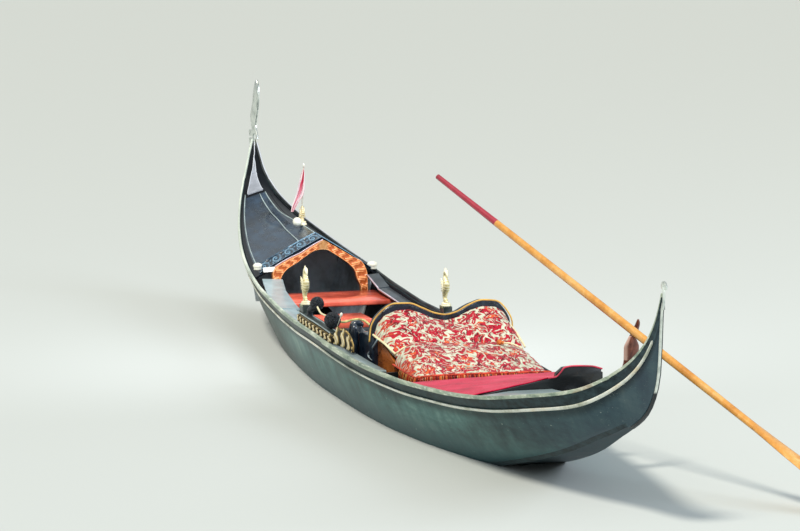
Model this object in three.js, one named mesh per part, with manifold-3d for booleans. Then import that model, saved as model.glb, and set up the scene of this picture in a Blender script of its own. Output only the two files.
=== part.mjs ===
// Gondola: flat-bottomed rowing boat, about 10.7 m long and 1.27 m wide.
// Millimetres. +X to the bow, +Y to port, +Z up; z = 0 is the flat bottom's outer face,
// x = 0 is under the middle of the hull. The water reaches z = 220.
import * as THREE from 'three';
import Module from 'manifold-3d';

const wasm = await Module();
wasm.setup();

// Real planks and boards
const PLANK = 20;          // side planking
const BOTTOM = 24;         // bottom planking
const FIT = 0.3;           // seam between neighbours
const SNUG = 1.0;          // seam against a twisted plank
const CAP = { width: 24, slim: 16, height: 22, lip: 12, slimLip: 2 };
const WALE = { drop: 60, height: 26, proud: 14 };
const DECK = 18;
const FLOOR_TOP = 96;      // top of the floorboards

// Hull lines. sheer: top of the cap; keel: underside; port and star: half breadth at the
// sheer; floor and floorStar: half breadth of the flat bottom on each side; drop: how much
// lower the sheer is to starboard.
const LINES = [
  { x: -5470, sheer: 1590, keel: 1545, port: 11, star: 11, floor: 9, floorStar: 9, drop: 0 },
  { x: -5450, sheer: 1542, keel: 1476, port: 13, star: 13, floor: 10, floorStar: 10, drop: 0 },
  { x: -5430, sheer: 1500, keel: 1290, port: 15, star: 15, floor: 11, floorStar: 11, drop: 0 },
  { x: -5405, sheer: 1452, keel: 1140, port: 19, star: 18, floor: 12, floorStar: 12, drop: 0 },
  { x: -5325, sheer: 1345, keel: 992, port: 30, star: 27, floor: 14, floorStar: 14, drop: 0 },
  { x: -5200, sheer: 1230, keel: 880, port: 54, star: 46, floor: 17, floorStar: 17, drop: 0 },
  { x: -5000, sheer: 1110, keel: 782, port: 94, star: 76, floor: 26, floorStar: 24, drop: 0 },
  { x: -4600, sheer: 935, keel: 640, port: 228, star: 166, floor: 62, floorStar: 54, drop: 0 },
  { x: -4100, sheer: 834, keel: 470, port: 362, star: 258, floor: 120, floorStar: 98, drop: 0 },
  { x: -3500, sheer: 738, keel: 312, port: 482, star: 338, floor: 195, floorStar: 152, drop: 0 },
  { x: -2800, sheer: 678, keel: 160, port: 572, star: 408, floor: 282, floorStar: 222, drop: 28 },
  { x: -2100, sheer: 658, keel: 50, port: 672, star: 458, floor: 362, floorStar: 290, drop: 56 },
  { x: -1400, sheer: 666, keel: 0, port: 735, star: 482, floor: 420, floorStar: 340, drop: 60 },
  { x: -700, sheer: 686, keel: 0, port: 758, star: 492, floor: 448, floorStar: 362, drop: 60 },
  { x: 0, sheer: 706, keel: 0, port: 762, star: 494, floor: 452, floorStar: 366, drop: 60 },
  { x: 700, sheer: 700, keel: 0, port: 722, star: 494, floor: 432, floorStar: 356, drop: 56 },
  { x: 1400, sheer: 684, keel: 0, port: 650, star: 492, floor: 388, floorStar: 332, drop: 40 },
  { x: 2100, sheer: 696, keel: 46, port: 594, star: 480, floor: 330, floorStar: 292, drop: 14 },
  { x: 2800, sheer: 756, keel: 140, port: 537, star: 440, floor: 262, floorStar: 240, drop: 0 },
  { x: 3400, sheer: 832, keel: 262, port: 462, star: 376, floor: 196, floorStar: 184, drop: 0 },
  { x: 3900, sheer: 916, keel: 390, port: 378, star: 308, floor: 138, floorStar: 132, drop: 0 },
  { x: 4380, sheer: 1026, keel: 545, port: 278, star: 221, floor: 84, floorStar: 82, drop: 0 },
  { x: 4720, sheer: 1190, keel: 715, port: 182, star: 112, floor: 42, floorStar: 40, drop: 0 },
  { x: 4880, sheer: 1370, keel: 850, port: 104, star: 48, floor: 24, floorStar: 22, drop: 0 },
  { x: 4965, sheer: 1500, keel: 985, port: 56, star: 30, floor: 14, floorStar: 14, drop: 0 },
  { x: 5020, sheer: 1590, keel: 1180, port: 20, star: 16, floor: 11, floorStar: 11, drop: 0 },
];
const STATIONS = [-4950, -4780, -4600, -4400, -4200, -4000, -3800, -3600, -3400, -3200, -2950, -2700, -2450, -2200,
  -1900, -1600, -1300, -950, -600, -300, 0, 300, 600, 950, 1300, 1600, 1900, 2200, 2400, 2490, 2570, 2760, 2950,
  3150, 3400, 3650, 3900, 4100, 4300, 4450, 4600, 4720, 4830];
const AFT_END = -4950;
const FORE_END = 4830;
const SIDE_NODES = [0, 0.2, 0.4, 0.6, 0.8, 1];
const BULGE = [0, 20, 28, 26, 14, 0];

// Monotone cubic through a column of a table
function through(table, key) {
  const n = table.length;
  const x = table.map((r) => r.x);
  const y = table.map((r) => r[key]);
  const d = [];
  for (let i = 0; i < n - 1; i++) d.push((y[i + 1] - y[i]) / (x[i + 1] - x[i]));
  const m = [d[0]];
  for (let i = 1; i < n - 1; i++) {
    if (d[i - 1] * d[i] <= 0) m.push(0);
    else {
      const h0 = x[i] - x[i - 1];
      const h1 = x[i + 1] - x[i];
      const w1 = 2 * h1 + h0;
      const w2 = h1 + 2 * h0;
      m.push((w1 + w2) / (w1 / d[i - 1] + w2 / d[i]));
    }
  }
  m.push(d[n - 2]);
  return (v) => {
    let i = 0;
    while (i < n - 2 && v > x[i + 1]) i++;
    const h = x[i + 1] - x[i];
    const t = (v - x[i]) / h;
    const t2 = t * t;
    const t3 = t2 * t;
    return (2 * t3 - 3 * t2 + 1) * y[i] + (t3 - 2 * t2 + t) * h * m[i] + (3 * t2 - 2 * t3) * y[i + 1] + (t3 - t2) * h * m[i + 1];
  };
}
const capTop = through(LINES, 'sheer');
const sheer = (x) => capTop(x) - CAP.height;
const keel = through(LINES, 'keel');
const floorPort = through(LINES, 'floor');
const floorStar = through(LINES, 'floorStar');
const lower = through(LINES, 'drop');
const chine = (x, s) => (s > 0 ? floorPort(x) : floorStar(x));
const side = (x, s) => sheer(x) - (s < 0 ? lower(x) : 0);
const halfPort = through(LINES, 'port');
const halfStar = through(LINES, 'star');
const half = (x, s) => (s > 0 ? halfPort(x) : halfStar(x));

// Outer face of the planking at station x, side s (+1 port), height z, as a signed y
function skin(x, s, z) {
  const k = keel(x);
  const t = Math.min(1, Math.max(0, (z - k) / (side(x, s) - k)));
  let i = 0;
  while (i < SIDE_NODES.length - 2 && t > SIDE_NODES[i + 1]) i++;
  const f = (t - SIDE_NODES[i]) / (SIDE_NODES[i + 1] - SIDE_NODES[i]);
  const at = (j) => {
    const c = chine(x, s);
    const g = half(x, s);
    return c + (g - c) * SIDE_NODES[j] + BULGE[j] * Math.min(1, (g - c) / 150);
  };
  return s * (at(i) + (at(i + 1) - at(i)) * f);
}
const inside = (x, s, z) => skin(x, s, z) - s * (PLANK + SNUG);

// Closed solid through rings that all have the same number of points
function loft(rings) {
  const n = rings[0].length;
  const pos = [];
  for (const r of rings) for (const p of r) pos.push(p[0], p[1], p[2]);
  const idx = [];
  for (let i = 0; i < rings.length - 1; i++) {
    for (let j = 0; j < n; j++) {
      const a = i * n + j;
      const b = i * n + ((j + 1) % n);
      idx.push(a, b, b + n, a, b + n, a + n);
    }
  }
  const cap = (base, flip) => {
    const ring = rings[base / n];
    const nor = new THREE.Vector3();
    for (let j = 0; j < n; j++) {
      const p = ring[j];
      const q = ring[(j + 1) % n];
      nor.x += (p[1] - q[1]) * (p[2] + q[2]);
      nor.y += (p[2] - q[2]) * (p[0] + q[0]);
      nor.z += (p[0] - q[0]) * (p[1] + q[1]);
    }
    const ax = Math.abs(nor.x);
    const ay = Math.abs(nor.y);
    const az = Math.abs(nor.z);
    const flat = ring.map((p) => {
      if (ax >= ay && ax >= az) return new THREE.Vector2(p[1], p[2]);
      if (ay >= az) return new THREE.Vector2(p[2], p[0]);
      return new THREE.Vector2(p[0], p[1]);
    });
    for (const f of THREE.ShapeUtils.triangulateShape(flat, [])) {
      const [a, b, c] = f;
      const p = ring[a];
      const q = ring[b];
      const r = ring[c];
      const u = [q[0] - p[0], q[1] - p[1], q[2] - p[2]];
      const v = [r[0] - p[0], r[1] - p[1], r[2] - p[2]];
      const dot = (u[1] * v[2] - u[2] * v[1]) * nor.x + (u[2] * v[0] - u[0] * v[2]) * nor.y + (u[0] * v[1] - u[1] * v[0]) * nor.z;
      const same = dot > 0;
      if (same !== flip) idx.push(base + a, base + b, base + c);
      else idx.push(base + a, base + c, base + b);
    }
  };
  cap(0, true);
  cap((rings.length - 1) * n, false);
  return outward(pos, idx);
}

// Geometry whose faces look outward
function outward(pos, idx) {
  let vol = 0;
  for (let i = 0; i < idx.length; i += 3) {
    const [a, b, c] = [idx[i] * 3, idx[i + 1] * 3, idx[i + 2] * 3];
    vol += pos[a] * (pos[b + 1] * pos[c + 2] - pos[b + 2] * pos[c + 1])
      + pos[a + 1] * (pos[b + 2] * pos[c] - pos[b] * pos[c + 2])
      + pos[a + 2] * (pos[b] * pos[c + 1] - pos[b + 1] * pos[c]);
  }
  const list = idx.slice();
  if (vol < 0) for (let i = 0; i < list.length; i += 3) [list[i + 1], list[i + 2]] = [list[i + 2], list[i + 1]];
  const g = new THREE.BufferGeometry();
  g.setAttribute('position', new THREE.Float32BufferAttribute(pos, 3));
  g.setIndex(list);
  return g;
}

const solid = (g) => new wasm.Manifold(new wasm.Mesh({
  numProp: 3,
  vertProperties: new Float32Array(g.attributes.position.array),
  triVerts: new Uint32Array(g.index.array),
}));
function fromSolid(m) {
  const mesh = m.getMesh();
  const g = new THREE.BufferGeometry();
  g.setAttribute('position', new THREE.Float32BufferAttribute(Array.from(mesh.vertProperties), 3));
  g.setIndex(Array.from(mesh.triVerts));
  return g;
}
const joined = (list) => fromSolid(list.map(solid).reduce((a, b) => a.add(b)));

// Straight board between two corners
const block = (x0, x1, y0, y1, z0, z1) => loft([
  [[x0, y0, z0], [x0, y1, z0], [x0, y1, z1], [x0, y0, z1]],
  [[x1, y0, z0], [x1, y1, z0], [x1, y1, z1], [x1, y0, z1]],
]);

// Round bar through points with a radius at each
function bar(points, sides = 12) {
  const rings = [];
  const n = points.length;
  let last = null;
  for (let i = 0; i < n; i++) {
    const p = new THREE.Vector3(...points[i].at);
    const a = new THREE.Vector3(...points[Math.max(0, i - 1)].at);
    const b = new THREE.Vector3(...points[Math.min(n - 1, i + 1)].at);
    const dir = b.sub(a).normalize();
    const wing = new THREE.Vector3(0, 0, 1).cross(dir);
    if (wing.length() < 0.05) wing.set(0, 1, 0);
    if (last && wing.dot(last) < 0) wing.negate();
    wing.normalize();
    last = wing;
    const up = dir.clone().cross(wing).normalize();
    const ring = [];
    for (let k = 0; k < sides; k++) {
      const t = (k / sides) * Math.PI * 2;
      const w = points[i].wide ?? points[i].r;
      const h = points[i].r;
      const q = p.clone().addScaledVector(wing, Math.cos(t) * w).addScaledVector(up, Math.sin(t) * h);
      ring.push([q.x, q.y, q.z]);
    }
    rings.push(ring);
  }
  return loft(rings);
}

// Flat plate in a plane x = const, from an outline of [y, z]
const across = (outline, x0, x1) => loft([outline.map(([y, z]) => [x0, y, z]), outline.map(([y, z]) => [x1, y, z])]);
// Flat plate in a plane y = const, from an outline of [x, z]
const along = (outline, y0, y1) => loft([outline.map(([x, z]) => [x, y0, z]), outline.map(([x, z]) => [x, y1, z])]);

const part = new THREE.Group();
part.name = 'gondola';
const FINISH = {
  black: { color: 0x0d1114, roughness: 0.25, metalness: 0 },
  worn: { color: 0x5a5f58, roughness: 0.5, metalness: 0 },
  iron: { color: 0xd8dbd6, roughness: 0.3, metalness: 1 },
  deck: { color: 0x11161c, roughness: 0.15, metalness: 0 },
  ridge: { color: 0x8f9796, roughness: 0.4, metalness: 0 },
  carved: { color: 0x1d2a38, roughness: 0.35, metalness: 0 },
  orange: { color: 0xc0692a, roughness: 0.45, metalness: 0 },
  board: { color: 0x6f7a80, roughness: 0.35, metalness: 0 },
  red: { color: 0xd2382c, roughness: 0.7, metalness: 0 },
  carpet: { color: 0xd63a4e, roughness: 0.95, metalness: 0 },
  damask: { color: 0xc9465a, roughness: 0.8, metalness: 0 },
  leather: { color: 0x131b26, roughness: 0.3, metalness: 0 },
  gilt: { color: 0xd7b25c, roughness: 0.3, metalness: 1 },
  floor: { color: 0x2b2a28, roughness: 0.7, metalness: 0 },
  walnut: { color: 0x6b3423, roughness: 0.4, metalness: 0 },
  oar: { color: 0xd98a2e, roughness: 0.35, metalness: 0 },
  oarRed: { color: 0x7d1e20, roughness: 0.4, metalness: 0 },
  cloth: { color: 0xc94a55, roughness: 0.9, metalness: 0 },
};
const mats = {};
for (const [k, v] of Object.entries(FINISH)) mats[k] = new THREE.MeshStandardMaterial({ name: k, ...v });
function put(name, geo, finish, parent = part) {
  geo.computeVertexNormals();
  const m = new THREE.Mesh(geo, mats[finish]);
  m.name = name;
  parent.add(m);
  return m;
}

// Hull
const midStations = STATIONS;
function sideRing(x, s) {
  const k = keel(x);
  const z1 = side(x, s);
  const low = k + BOTTOM + FIT;
  const heights = [low, ...SIDE_NODES.slice(1).map((t) => k + (z1 - k) * t)];
  const outer = heights.map((z) => [x, skin(x, s, z), z]);
  const inner = heights.map((z) => [x, skin(x, s, z) - s * PLANK, z]);
  return [...outer, ...inner.reverse()];
}
put('hull_bottom', loft(midStations.map((x) => {
  const k = keel(x);
  const top = k + BOTTOM;
  return [[x, -chine(x, -1), k], [x, chine(x, 1), k], [x, skin(x, 1, top), top], [x, skin(x, -1, top), top]];
})), 'black');
put('side_port', loft(midStations.map((x) => sideRing(x, 1))), 'black');
put('side_starboard', loft(midStations.map((x) => sideRing(x, -1))), 'black');
const endRing = (x) => {
  const k = keel(x);
  const z1 = sheer(x);
  const up = SIDE_NODES.map((t) => [x, skin(x, 1, k + (z1 - k) * t), k + (z1 - k) * t]);
  const down = SIDE_NODES.map((t) => [x, skin(x, -1, k + (z1 - k) * t), k + (z1 - k) * t]).reverse();
  return [...up, ...down];
};
put('stern_stem', loft([AFT_END - FIT, -5050, -5130, -5200, -5270, -5325, -5370, -5405, -5430, -5450, -5470].map(endRing)), 'black');
const blockRing = (x) => {
  const z0 = keel(x) + BOTTOM + 12;
  const z1 = sheer(x) - 32;
  const zs = [0, 0.35, 0.7, 1].map((t) => z0 + (z1 - z0) * t);
  return [...zs.map((z) => [x, Math.max(2, inside(x, 1, z) - 5), z]), ...zs.reverse().map((z) => [x, Math.min(-2, inside(x, -1, z) + 5), z])];
};
put('bow_stem', joined([
  loft([FORE_END + FIT, 4870, 4910, 4940, 4970, 4995, 5020].map(endRing)),
  loft([4150, 4300, 4450, 4600, 4720, 4780, 4838].map(blockRing)),
]), 'black');

// Caps on the sheer and the rubbing strips below them
const RAIL = [-5470, -5450, -5430, -5405, -5370, -5325, -5270, -5200, -5130, -5050, ...STATIONS, 4870, 4910, 4940, 4970, 4995, 5020];
const slim = (x) => Math.min(1, Math.max(0, (Math.abs(x + 200) - 3400) / 1500));
const capRing = (x, s) => {
  const w = CAP.width + (CAP.slim - CAP.width) * slim(x);
  const g = half(x, s) + CAP.lip + (CAP.slimLip - CAP.lip) * slim(x);
  const z = side(x, s) + FIT;
  const outer = s * g;
  const inner = s * Math.max(0.4, g - w);
  return [[x, inner, z], [x, outer, z], [x, outer, z + CAP.height - 6], [x, outer - s * 5, z + CAP.height], [x, inner, z + CAP.height]];
};
put('gunwale_port', loft(RAIL.map((x) => capRing(x, 1))), 'worn');
put('gunwale_starboard', loft(RAIL.map((x) => capRing(x, -1))), 'worn');
const waleRing = (x, s) => {
  const d = Math.min(WALE.drop, (side(x, s) - keel(x)) * 0.3);
  const top = side(x, s) - d;
  const low = top - WALE.height;
  const face = (z, out) => skin(x, s, z) + s * out;
  return [[x, face(top, 1.8), top], [x, face(top, WALE.proud), top - 6], [x, face(low, WALE.proud), low + 6], [x, face(low, 1.8), low]];
};
const STRIP = RAIL.filter((x) => x >= -5370 && x <= 4940);
put('wale_port', loft(STRIP.map((x) => waleRing(x, 1))), 'worn');
put('wale_starboard', loft(STRIP.map((x) => waleRing(x, -1))), 'worn');

// Irons: the comb at the bow and the curl at the stern, both plates on the centre plane,
// each with a band that runs down its post
const FERRO = [
  [5020.8, 1400], [5020.8, 1618], [4982, 1644], [4930, 1634], [4884, 1596], [4864, 1604], [4880, 1644], [4918, 1680],
  [4926, 1712], [4900, 1762], [4862, 1810], [4834, 1860], [4812, 1915], [4802, 1970], [4806, 2030], [4826, 2076], [4856, 2102],
  [4908, 2082], [4958, 2036], [4996, 1970], [5020, 1910], [5052, 1860], [5094, 1812], [5112, 1776], [5106, 1738], [5096, 1700],
];
const TEETH = [1652, 1584, 1516, 1448, 1380, 1312];
const TOOTH = { reach: 128, height: 46, root: 5052 };
const ferro = FERRO.slice();
TEETH.forEach((z) => {
  ferro.push([TOOTH.root, z + 4], [TOOTH.root + TOOTH.reach - 8, z + 4], [TOOTH.root + TOOTH.reach, z - 6],
    [TOOTH.root + TOOTH.reach, z - TOOTH.height + 12], [TOOTH.root + TOOTH.reach - 10, z - TOOTH.height], [TOOTH.root, z - TOOTH.height]);
});
ferro.push([5034, 1150], [5020.8, 1150]);
const CURL = [
  [-5472, 1500], [-5472, 1614], [-5456, 1614], [-5448, 1628], [-5460, 1648], [-5484, 1658], [-5512, 1652], [-5528, 1632],
  [-5522, 1612], [-5506, 1612], [-5510, 1626], [-5498, 1636], [-5488, 1628], [-5486, 1500],
];
// Band along the outer edge of a post, from a run of stations on the keel line
function band(xs, side, thick, clear) {
  return loft(xs.map((x, i) => {
    const a = xs[Math.max(0, i - 1)];
    const b = xs[Math.min(xs.length - 1, i + 1)];
    const dx = b - a;
    const dz = keel(b) - keel(a);
    const l = Math.hypot(dx, dz);
    const nx = (dz / l) * side;
    const nz = (-dx / l) * side;
    const at = (o) => [x + nx * o, keel(x) + nz * o];
    const [ax, az] = at(clear);
    const [bx, bz] = at(clear + thick);
    const w = Math.min(11, chine(x, 1) - 0.4);
    return [[ax, -w, az], [ax, w, az], [bx, w * 0.7, bz], [bx, -w * 0.7, bz]];
  }));
}
put('ferro', joined([along(ferro, -7, 7), band([4300, 4450, 4600, 4720, 4830, 4870, 4910, 4940, 4970, 4995, 5019], 1, 14, 0.4)]), 'iron');
put('stern_iron', joined([along(CURL, -6, 6), band([-5468, -5450, -5430, -5405, -5370, -5325, -5270, -5200, -5130, -5050, -4950], 1, 14, 0.4)]), 'iron');

// Foredeck: gabled panel, its ridge strip, the carved moulding along its rear edge and the arch
const DECK_AFT = 2570;
const RIDGE = [
  { x: 2570, z: 1002 }, { x: 3150, z: 1028 }, { x: 3650, z: 1040 }, { x: 4000, z: 1050 }, { x: 4400, z: 1112 },
  { x: 4600, z: 1166 }, { x: 4720, z: 1222 }, { x: 4830, z: 1312 },
];
const ridge = through(RIDGE, 'z');
const DECK_X = [2570, 2700, ...STATIONS.filter((x) => x > 2700)];
const eave = (x) => capTop(x) - 12;
const CROWN = 0.52;        // height of the deck's top halfway out, as a share of its rise
const foredeckRing = (x) => {
  const z = eave(x);
  const top = Math.max(ridge(x), z + 14);
  const p = inside(x, 1, z - DECK);
  const q = inside(x, -1, z - DECK);
  const mid = z + (top - z) * CROWN;
  return [
    [x, p, z - DECK], [x, p, z], [x, p * 0.5, mid], [x, 0, top], [x, q * 0.5, mid], [x, q, z],
    [x, q, z - DECK], [x, q * 0.5, mid - DECK], [x, 0, top - DECK], [x, p * 0.5, mid - DECK],
  ];
};
put('foredeck', loft(DECK_X.map(foredeckRing)), 'deck');
const deckTop = (x, y) => {
  const z = eave(x);
  const top = Math.max(ridge(x), z + 14);
  const e = Math.abs(inside(x, Math.sign(y) || 1, z - DECK));
  const f = Math.abs(y) / e;
  return f < 0.5 ? top - (top - z) * (1 - CROWN) * (f / 0.5) : z + (top - z) * CROWN * ((1 - f) / 0.5);
};
const RIDGE_PLANK = [{ x: 2830, wide: 128 }, { x: 3300, wide: 108 }, { x: 3970, wide: 62 }, { x: 4600, wide: 46 }];
const plankHalf = through(RIDGE_PLANK, 'wide');
put('foredeck_ridge', loft([2830, ...DECK_X.filter((x) => x > 2900 && x <= 4600)].map((x) => {
  const w = plankHalf(x);
  const lift = (y) => deckTop(x, y || 1e-6) + 3.6;
  return [[x, -w, lift(-w)], [x, 0, lift(0)], [x, w, lift(w)], [x, w, lift(w) + 6], [x, 0, lift(0) + 6], [x, -w, lift(-w) + 6]];
})), 'ridge');
const BOW_PLATE = [
  { x: 4652, port: 127, star: -22 }, { x: 4720, port: 104, star: -8 }, { x: 4780, port: 84, star: 4 }, { x: 4826, port: 64, star: 12 },
];
const onDeck = (x, y) => {
  const i = DECK_X.findIndex((v) => v >= x);
  const f = (x - DECK_X[i - 1]) / (DECK_X[i] - DECK_X[i - 1]);
  return deckTop(DECK_X[i - 1], y) * (1 - f) + deckTop(DECK_X[i], y) * f;
};
put('bow_plate', loft(BOW_PLATE.map(({ x, port, star }) => {
  const ys = [port, port / 2, Math.max(0.5, star + 2), star];
  return [...ys.map((y) => [x, y, onDeck(x, y) + 4]), ...ys.reverse().map((y) => [x, y, onDeck(x, y) + 9])];
})), 'board');
const MOULDING = { x0: 2576, x1: 2812, thick: 16 };
const gableEdge = (x, lift) => [1, 0.5, 0, -0.5, -1].map((k) => {
  const s = Math.sign(k) || 1;
  const y = Math.abs(k) * inside(x, s, eave(x) - DECK) - (Math.abs(k) === 1 ? s * 34 : 0);
  return [y, deckTop(x, y || 1e-6) + lift];
});
put('foredeck_moulding', loft([MOULDING.x0, 2700, 2760, MOULDING.x1].map((x) => {
  const low = gableEdge(x, 2.4);
  const high = gableEdge(x, MOULDING.thick).reverse();
  return [...low, ...high].map(([y, z]) => [x, y, z]);
})), 'carved');

// Carved arch under the foredeck's rear edge
const ARCH_X = [2508, 2569.6];
const archOuter = [
  [408, 560], [408, 740], [384, 792], [339, 819], [257, 860], [174, 895], [110, 932], [43, 968], [-8, 992], [-60, 964],
  [-154, 908], [-236, 858], [-301, 822], [-330, 779], [-349, 714], [-352, 540],
];
const archInner = [
  [-304, 540], [-299, 607], [-267, 689], [-251, 746], [-211, 796], [-146, 847], [-81, 890], [-24, 922], [67, 920], [149, 875],
  [215, 830], [281, 792], [322, 754], [347, 699], [352, 560],
];
put('arch_frame', across([...archOuter, ...archInner], ARCH_X[0], ARCH_X[1]), 'orange');

// Afterdeck, rowing platform and its carpet
const AFT_X = STATIONS.filter((x) => x >= -4950 && x <= -3200);
put('afterdeck', loft(AFT_X.map((x) => {
  const z = sheer(x) - 16;
  const p = inside(x, 1, z - DECK) - 0.6;
  const q = inside(x, -1, z - DECK) + 0.6;
  const c = Math.min(28, p * 0.2);
  return [[x, p, z - DECK], [x, p, z], [x, p * 0.4, z + c], [x, q * 0.4, z + c], [x, q, z], [x, q, z - DECK], [x, q * 0.4, z + c - DECK], [x, p * 0.4, z + c - DECK]];
})), 'black');
// rise: how far its top climbs from port to starboard
const PLATFORM = [
  { x: -3190, z: 668, rise: 100 }, { x: -2950, z: 652, rise: 72 }, { x: -2700, z: 638, rise: 47 }, { x: -2450, z: 626, rise: 28 }, { x: -2200, z: 618, rise: 16 },
];
const PLATFORM_LOW = 596;
const rim = (x, s) => half(x, s) + CAP.lip - CAP.width - 6;
const platformTop = ({ x, z, rise }) => [
  [inside(x, 1, PLATFORM_LOW) - 0.5, z], [250, z + rise * 0.4], [0, z + rise * 0.86], [-80, z + rise], [Math.max(inside(x, -1, PLATFORM_LOW) + 0.5, -rim(x, -1)), z + rise],
];
// Its toe board reaches over the starboard cap
const TOE = { x0: -3190, x1: -3145, y: -104, top: 836, low: 742, over: 24 };
const toeEnd = -(half(TOE.x0, -1) + TOE.over);
put('rowing_platform', joined([
  loft(PLATFORM.map((row) => {
    const line = platformTop(row);
    return [...line.map(([y, z]) => [row.x, y, z]), [row.x, line[4][0], PLATFORM_LOW], [row.x, line[0][0], PLATFORM_LOW]];
  })),
  across([
    [TOE.y, TOE.low], [TOE.y, TOE.top - 44], [TOE.y - 46, TOE.top - 6], [TOE.y - 110, TOE.top], [TOE.y - 230, TOE.top - 8], [toeEnd, TOE.top - 26],
    [toeEnd, TOE.low],
  ], TOE.x0, TOE.x1),
]), 'black');
put('carpet', loft([{ x: -3140, z: 664.7, rise: 94.2 }, ...PLATFORM.slice(1, 4), { x: -2215, z: 618.5, rise: 16.7 }].map((row) => {
  const line = platformTop(row);
  const [p, q] = [line[0][0], line[4][0]];
  const z = row.z + row.rise * 0.4 * (30 / (p - 250));
  const low = [[p - 30, z], ...line.slice(1, 4), [q + 6, line[4][1]]];
  return [...low.map(([y, h]) => [row.x, y, h + 1.4]), ...low.reverse().map(([y, h]) => [row.x, y, h + 9])];
})), 'carpet');
// Frames across the hull that carry the platform and the padded lid in front of it
function frame(name, x0, x1, top) {
  const low = Math.max(keel(x0), keel(x1)) + BOTTOM + 2;
  const hs = [low, low + 60, 360, top - FIT];
  const p = hs.map((z) => [Math.min(inside(x0, 1, z), inside(x1, 1, z)) - 2, z]);
  const q = hs.map((z) => [Math.max(inside(x0, -1, z) + 2, inside(x1, -1, z) + 2, z > side(x0, -1) - 60 ? -Math.min(rim(x0, -1), rim(x1, -1)) : -1e4), z]).reverse();
  put(name, across([...p, ...q], x0, x1), 'black');
}
const LID = { fore: -1500, aft: -2194, z: 604 };
frame('frame_aft', -2270, -2250, PLATFORM_LOW);
frame('frame_fore', -1650, -1630, LID.z);

// Floorboards
const floorTop = (x) => Math.max(FLOOR_TOP, keel(x) + BOTTOM + 24);
const FLOOR_X = STATIONS.filter((x) => x >= -1600 && x <= 2400);
put('floorboards', loft(FLOOR_X.map((x) => {
  const z1 = floorTop(x);
  const z0 = z1 - 18;
  const p = inside(x, 1, z0) - 0.5;
  const q = inside(x, -1, z0) + 0.5;
  return [[x, p, z0], [x, p, z1], [x, q, z1], [x, q, z0]];
})), 'floor');

// Red cross bench behind the arch and a stool aft of it
put('bench_fore', loft([1900, 2200, 2400, 2490].map((x) => {
  const z0 = 556;
  const p = inside(x, 1, z0) - 0.5;
  const q = inside(x, -1, z0) + 0.5;
  return [[x, p, z0], [x, p, z0 + 38], [x, q, z0 + 38], [x, q, z0]];
})), 'red');
const STOOL = { x0: 1440, x1: 1790, y0: -120, y1: 270, top: 452 };
const leg = (x, y) => block(x, x + 34, y, y + 34, FLOOR_TOP + FIT, STOOL.top);
put('stool_frame', joined([
  block(STOOL.x0, STOOL.x1, STOOL.y0, STOOL.y1, STOOL.top - 50, STOOL.top),
  leg(STOOL.x0, STOOL.y0), leg(STOOL.x1 - 34, STOOL.y0), leg(STOOL.x0, STOOL.y1 - 34), leg(STOOL.x1 - 34, STOOL.y1 - 34),
  block(STOOL.x0, STOOL.x0 + 30, STOOL.y0, STOOL.y1, 180, 220), block(STOOL.x1 - 30, STOOL.x1, STOOL.y0, STOOL.y1, 180, 220),
]), 'floor');
put('stool_seat', block(STOOL.x0 + 4, STOOL.x1 - 4, STOOL.y0 + 4, STOOL.y1 - 4, STOOL.top + FIT, STOOL.top + 66), 'red');

// Side boards along the inside of the sheer
const BOARD_DROP = 20;
const boardRing = (x, s) => {
  const z = side(x, s) - BOARD_DROP;
  const y = inside(x, s, z - 16) - s * 0.5;
  const w = s > 0 ? 120 : 92;
  return [[x, y, z - 16], [x, y, z], [x, y - s * w, z - 8], [x, y - s * w, z - 24]];
};
put('side_board_port', loft(STATIONS.filter((x) => x >= -1600 && x <= 2200).map((x) => boardRing(x, 1))), 'board');
put('side_board_starboard', loft(STATIONS.filter((x) => x >= 0 && x <= 2200).map((x) => boardRing(x, -1))), 'board');

// Sofa
const SOFA = { x0: -1010, x1: -420, y0: -346, y1: 425, seat: 380 };
put('sofa_base', block(SOFA.x0 + 95, SOFA.x1, SOFA.y0, SOFA.y1, FLOOR_TOP + FIT, SOFA.seat), 'leather');
put('sofa_cushion', block(SOFA.x0 + 97, SOFA.x1 - 10, SOFA.y0 + 6, SOFA.y1 - 6, SOFA.seat + FIT, SOFA.seat + 110), 'damask');
const ARM = [[-915, 391], [-915, 700], [-830, 738], [-700, 742], [-560, 722], [-440, 728], [-380, 712], [-352, 660], [-352, 391]];
for (const [name, s, y] of [['port', 1, 430], ['starboard', -1, 352]]) {
  const m = s * (y + 33);
  put(`sofa_arm_${name}`, joined([along(ARM, Math.min(s * y, s * (y + 66)), Math.max(s * y, s * (y + 66))), bar([
    { at: [-322, m, 394], r: 28, wide: 42 }, { at: [-318, m, 520], r: 29, wide: 44 }, { at: [-316, m, 640], r: 30, wide: 46 },
    { at: [-330, m, 712], r: 30, wide: 46 }, { at: [-372, m, 750], r: 28, wide: 46 }, { at: [-430, m, 752], r: 30, wide: 44 },
  ], 14)]), 'leather');
}
const LOBES = [
  [500, 300], [520, 700], [500, 832], [440, 918], [350, 968], [260, 966], [170, 930], [80, 890], [0, 874],
  [-80, 890], [-170, 936], [-260, 966], [-350, 956], [-420, 900], [-462, 800], [-462, 690], [-440, 668], [-428, 590], [-400, 300],
];
put('sofa_back', across(LOBES, -1010, -916), 'leather');
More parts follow.
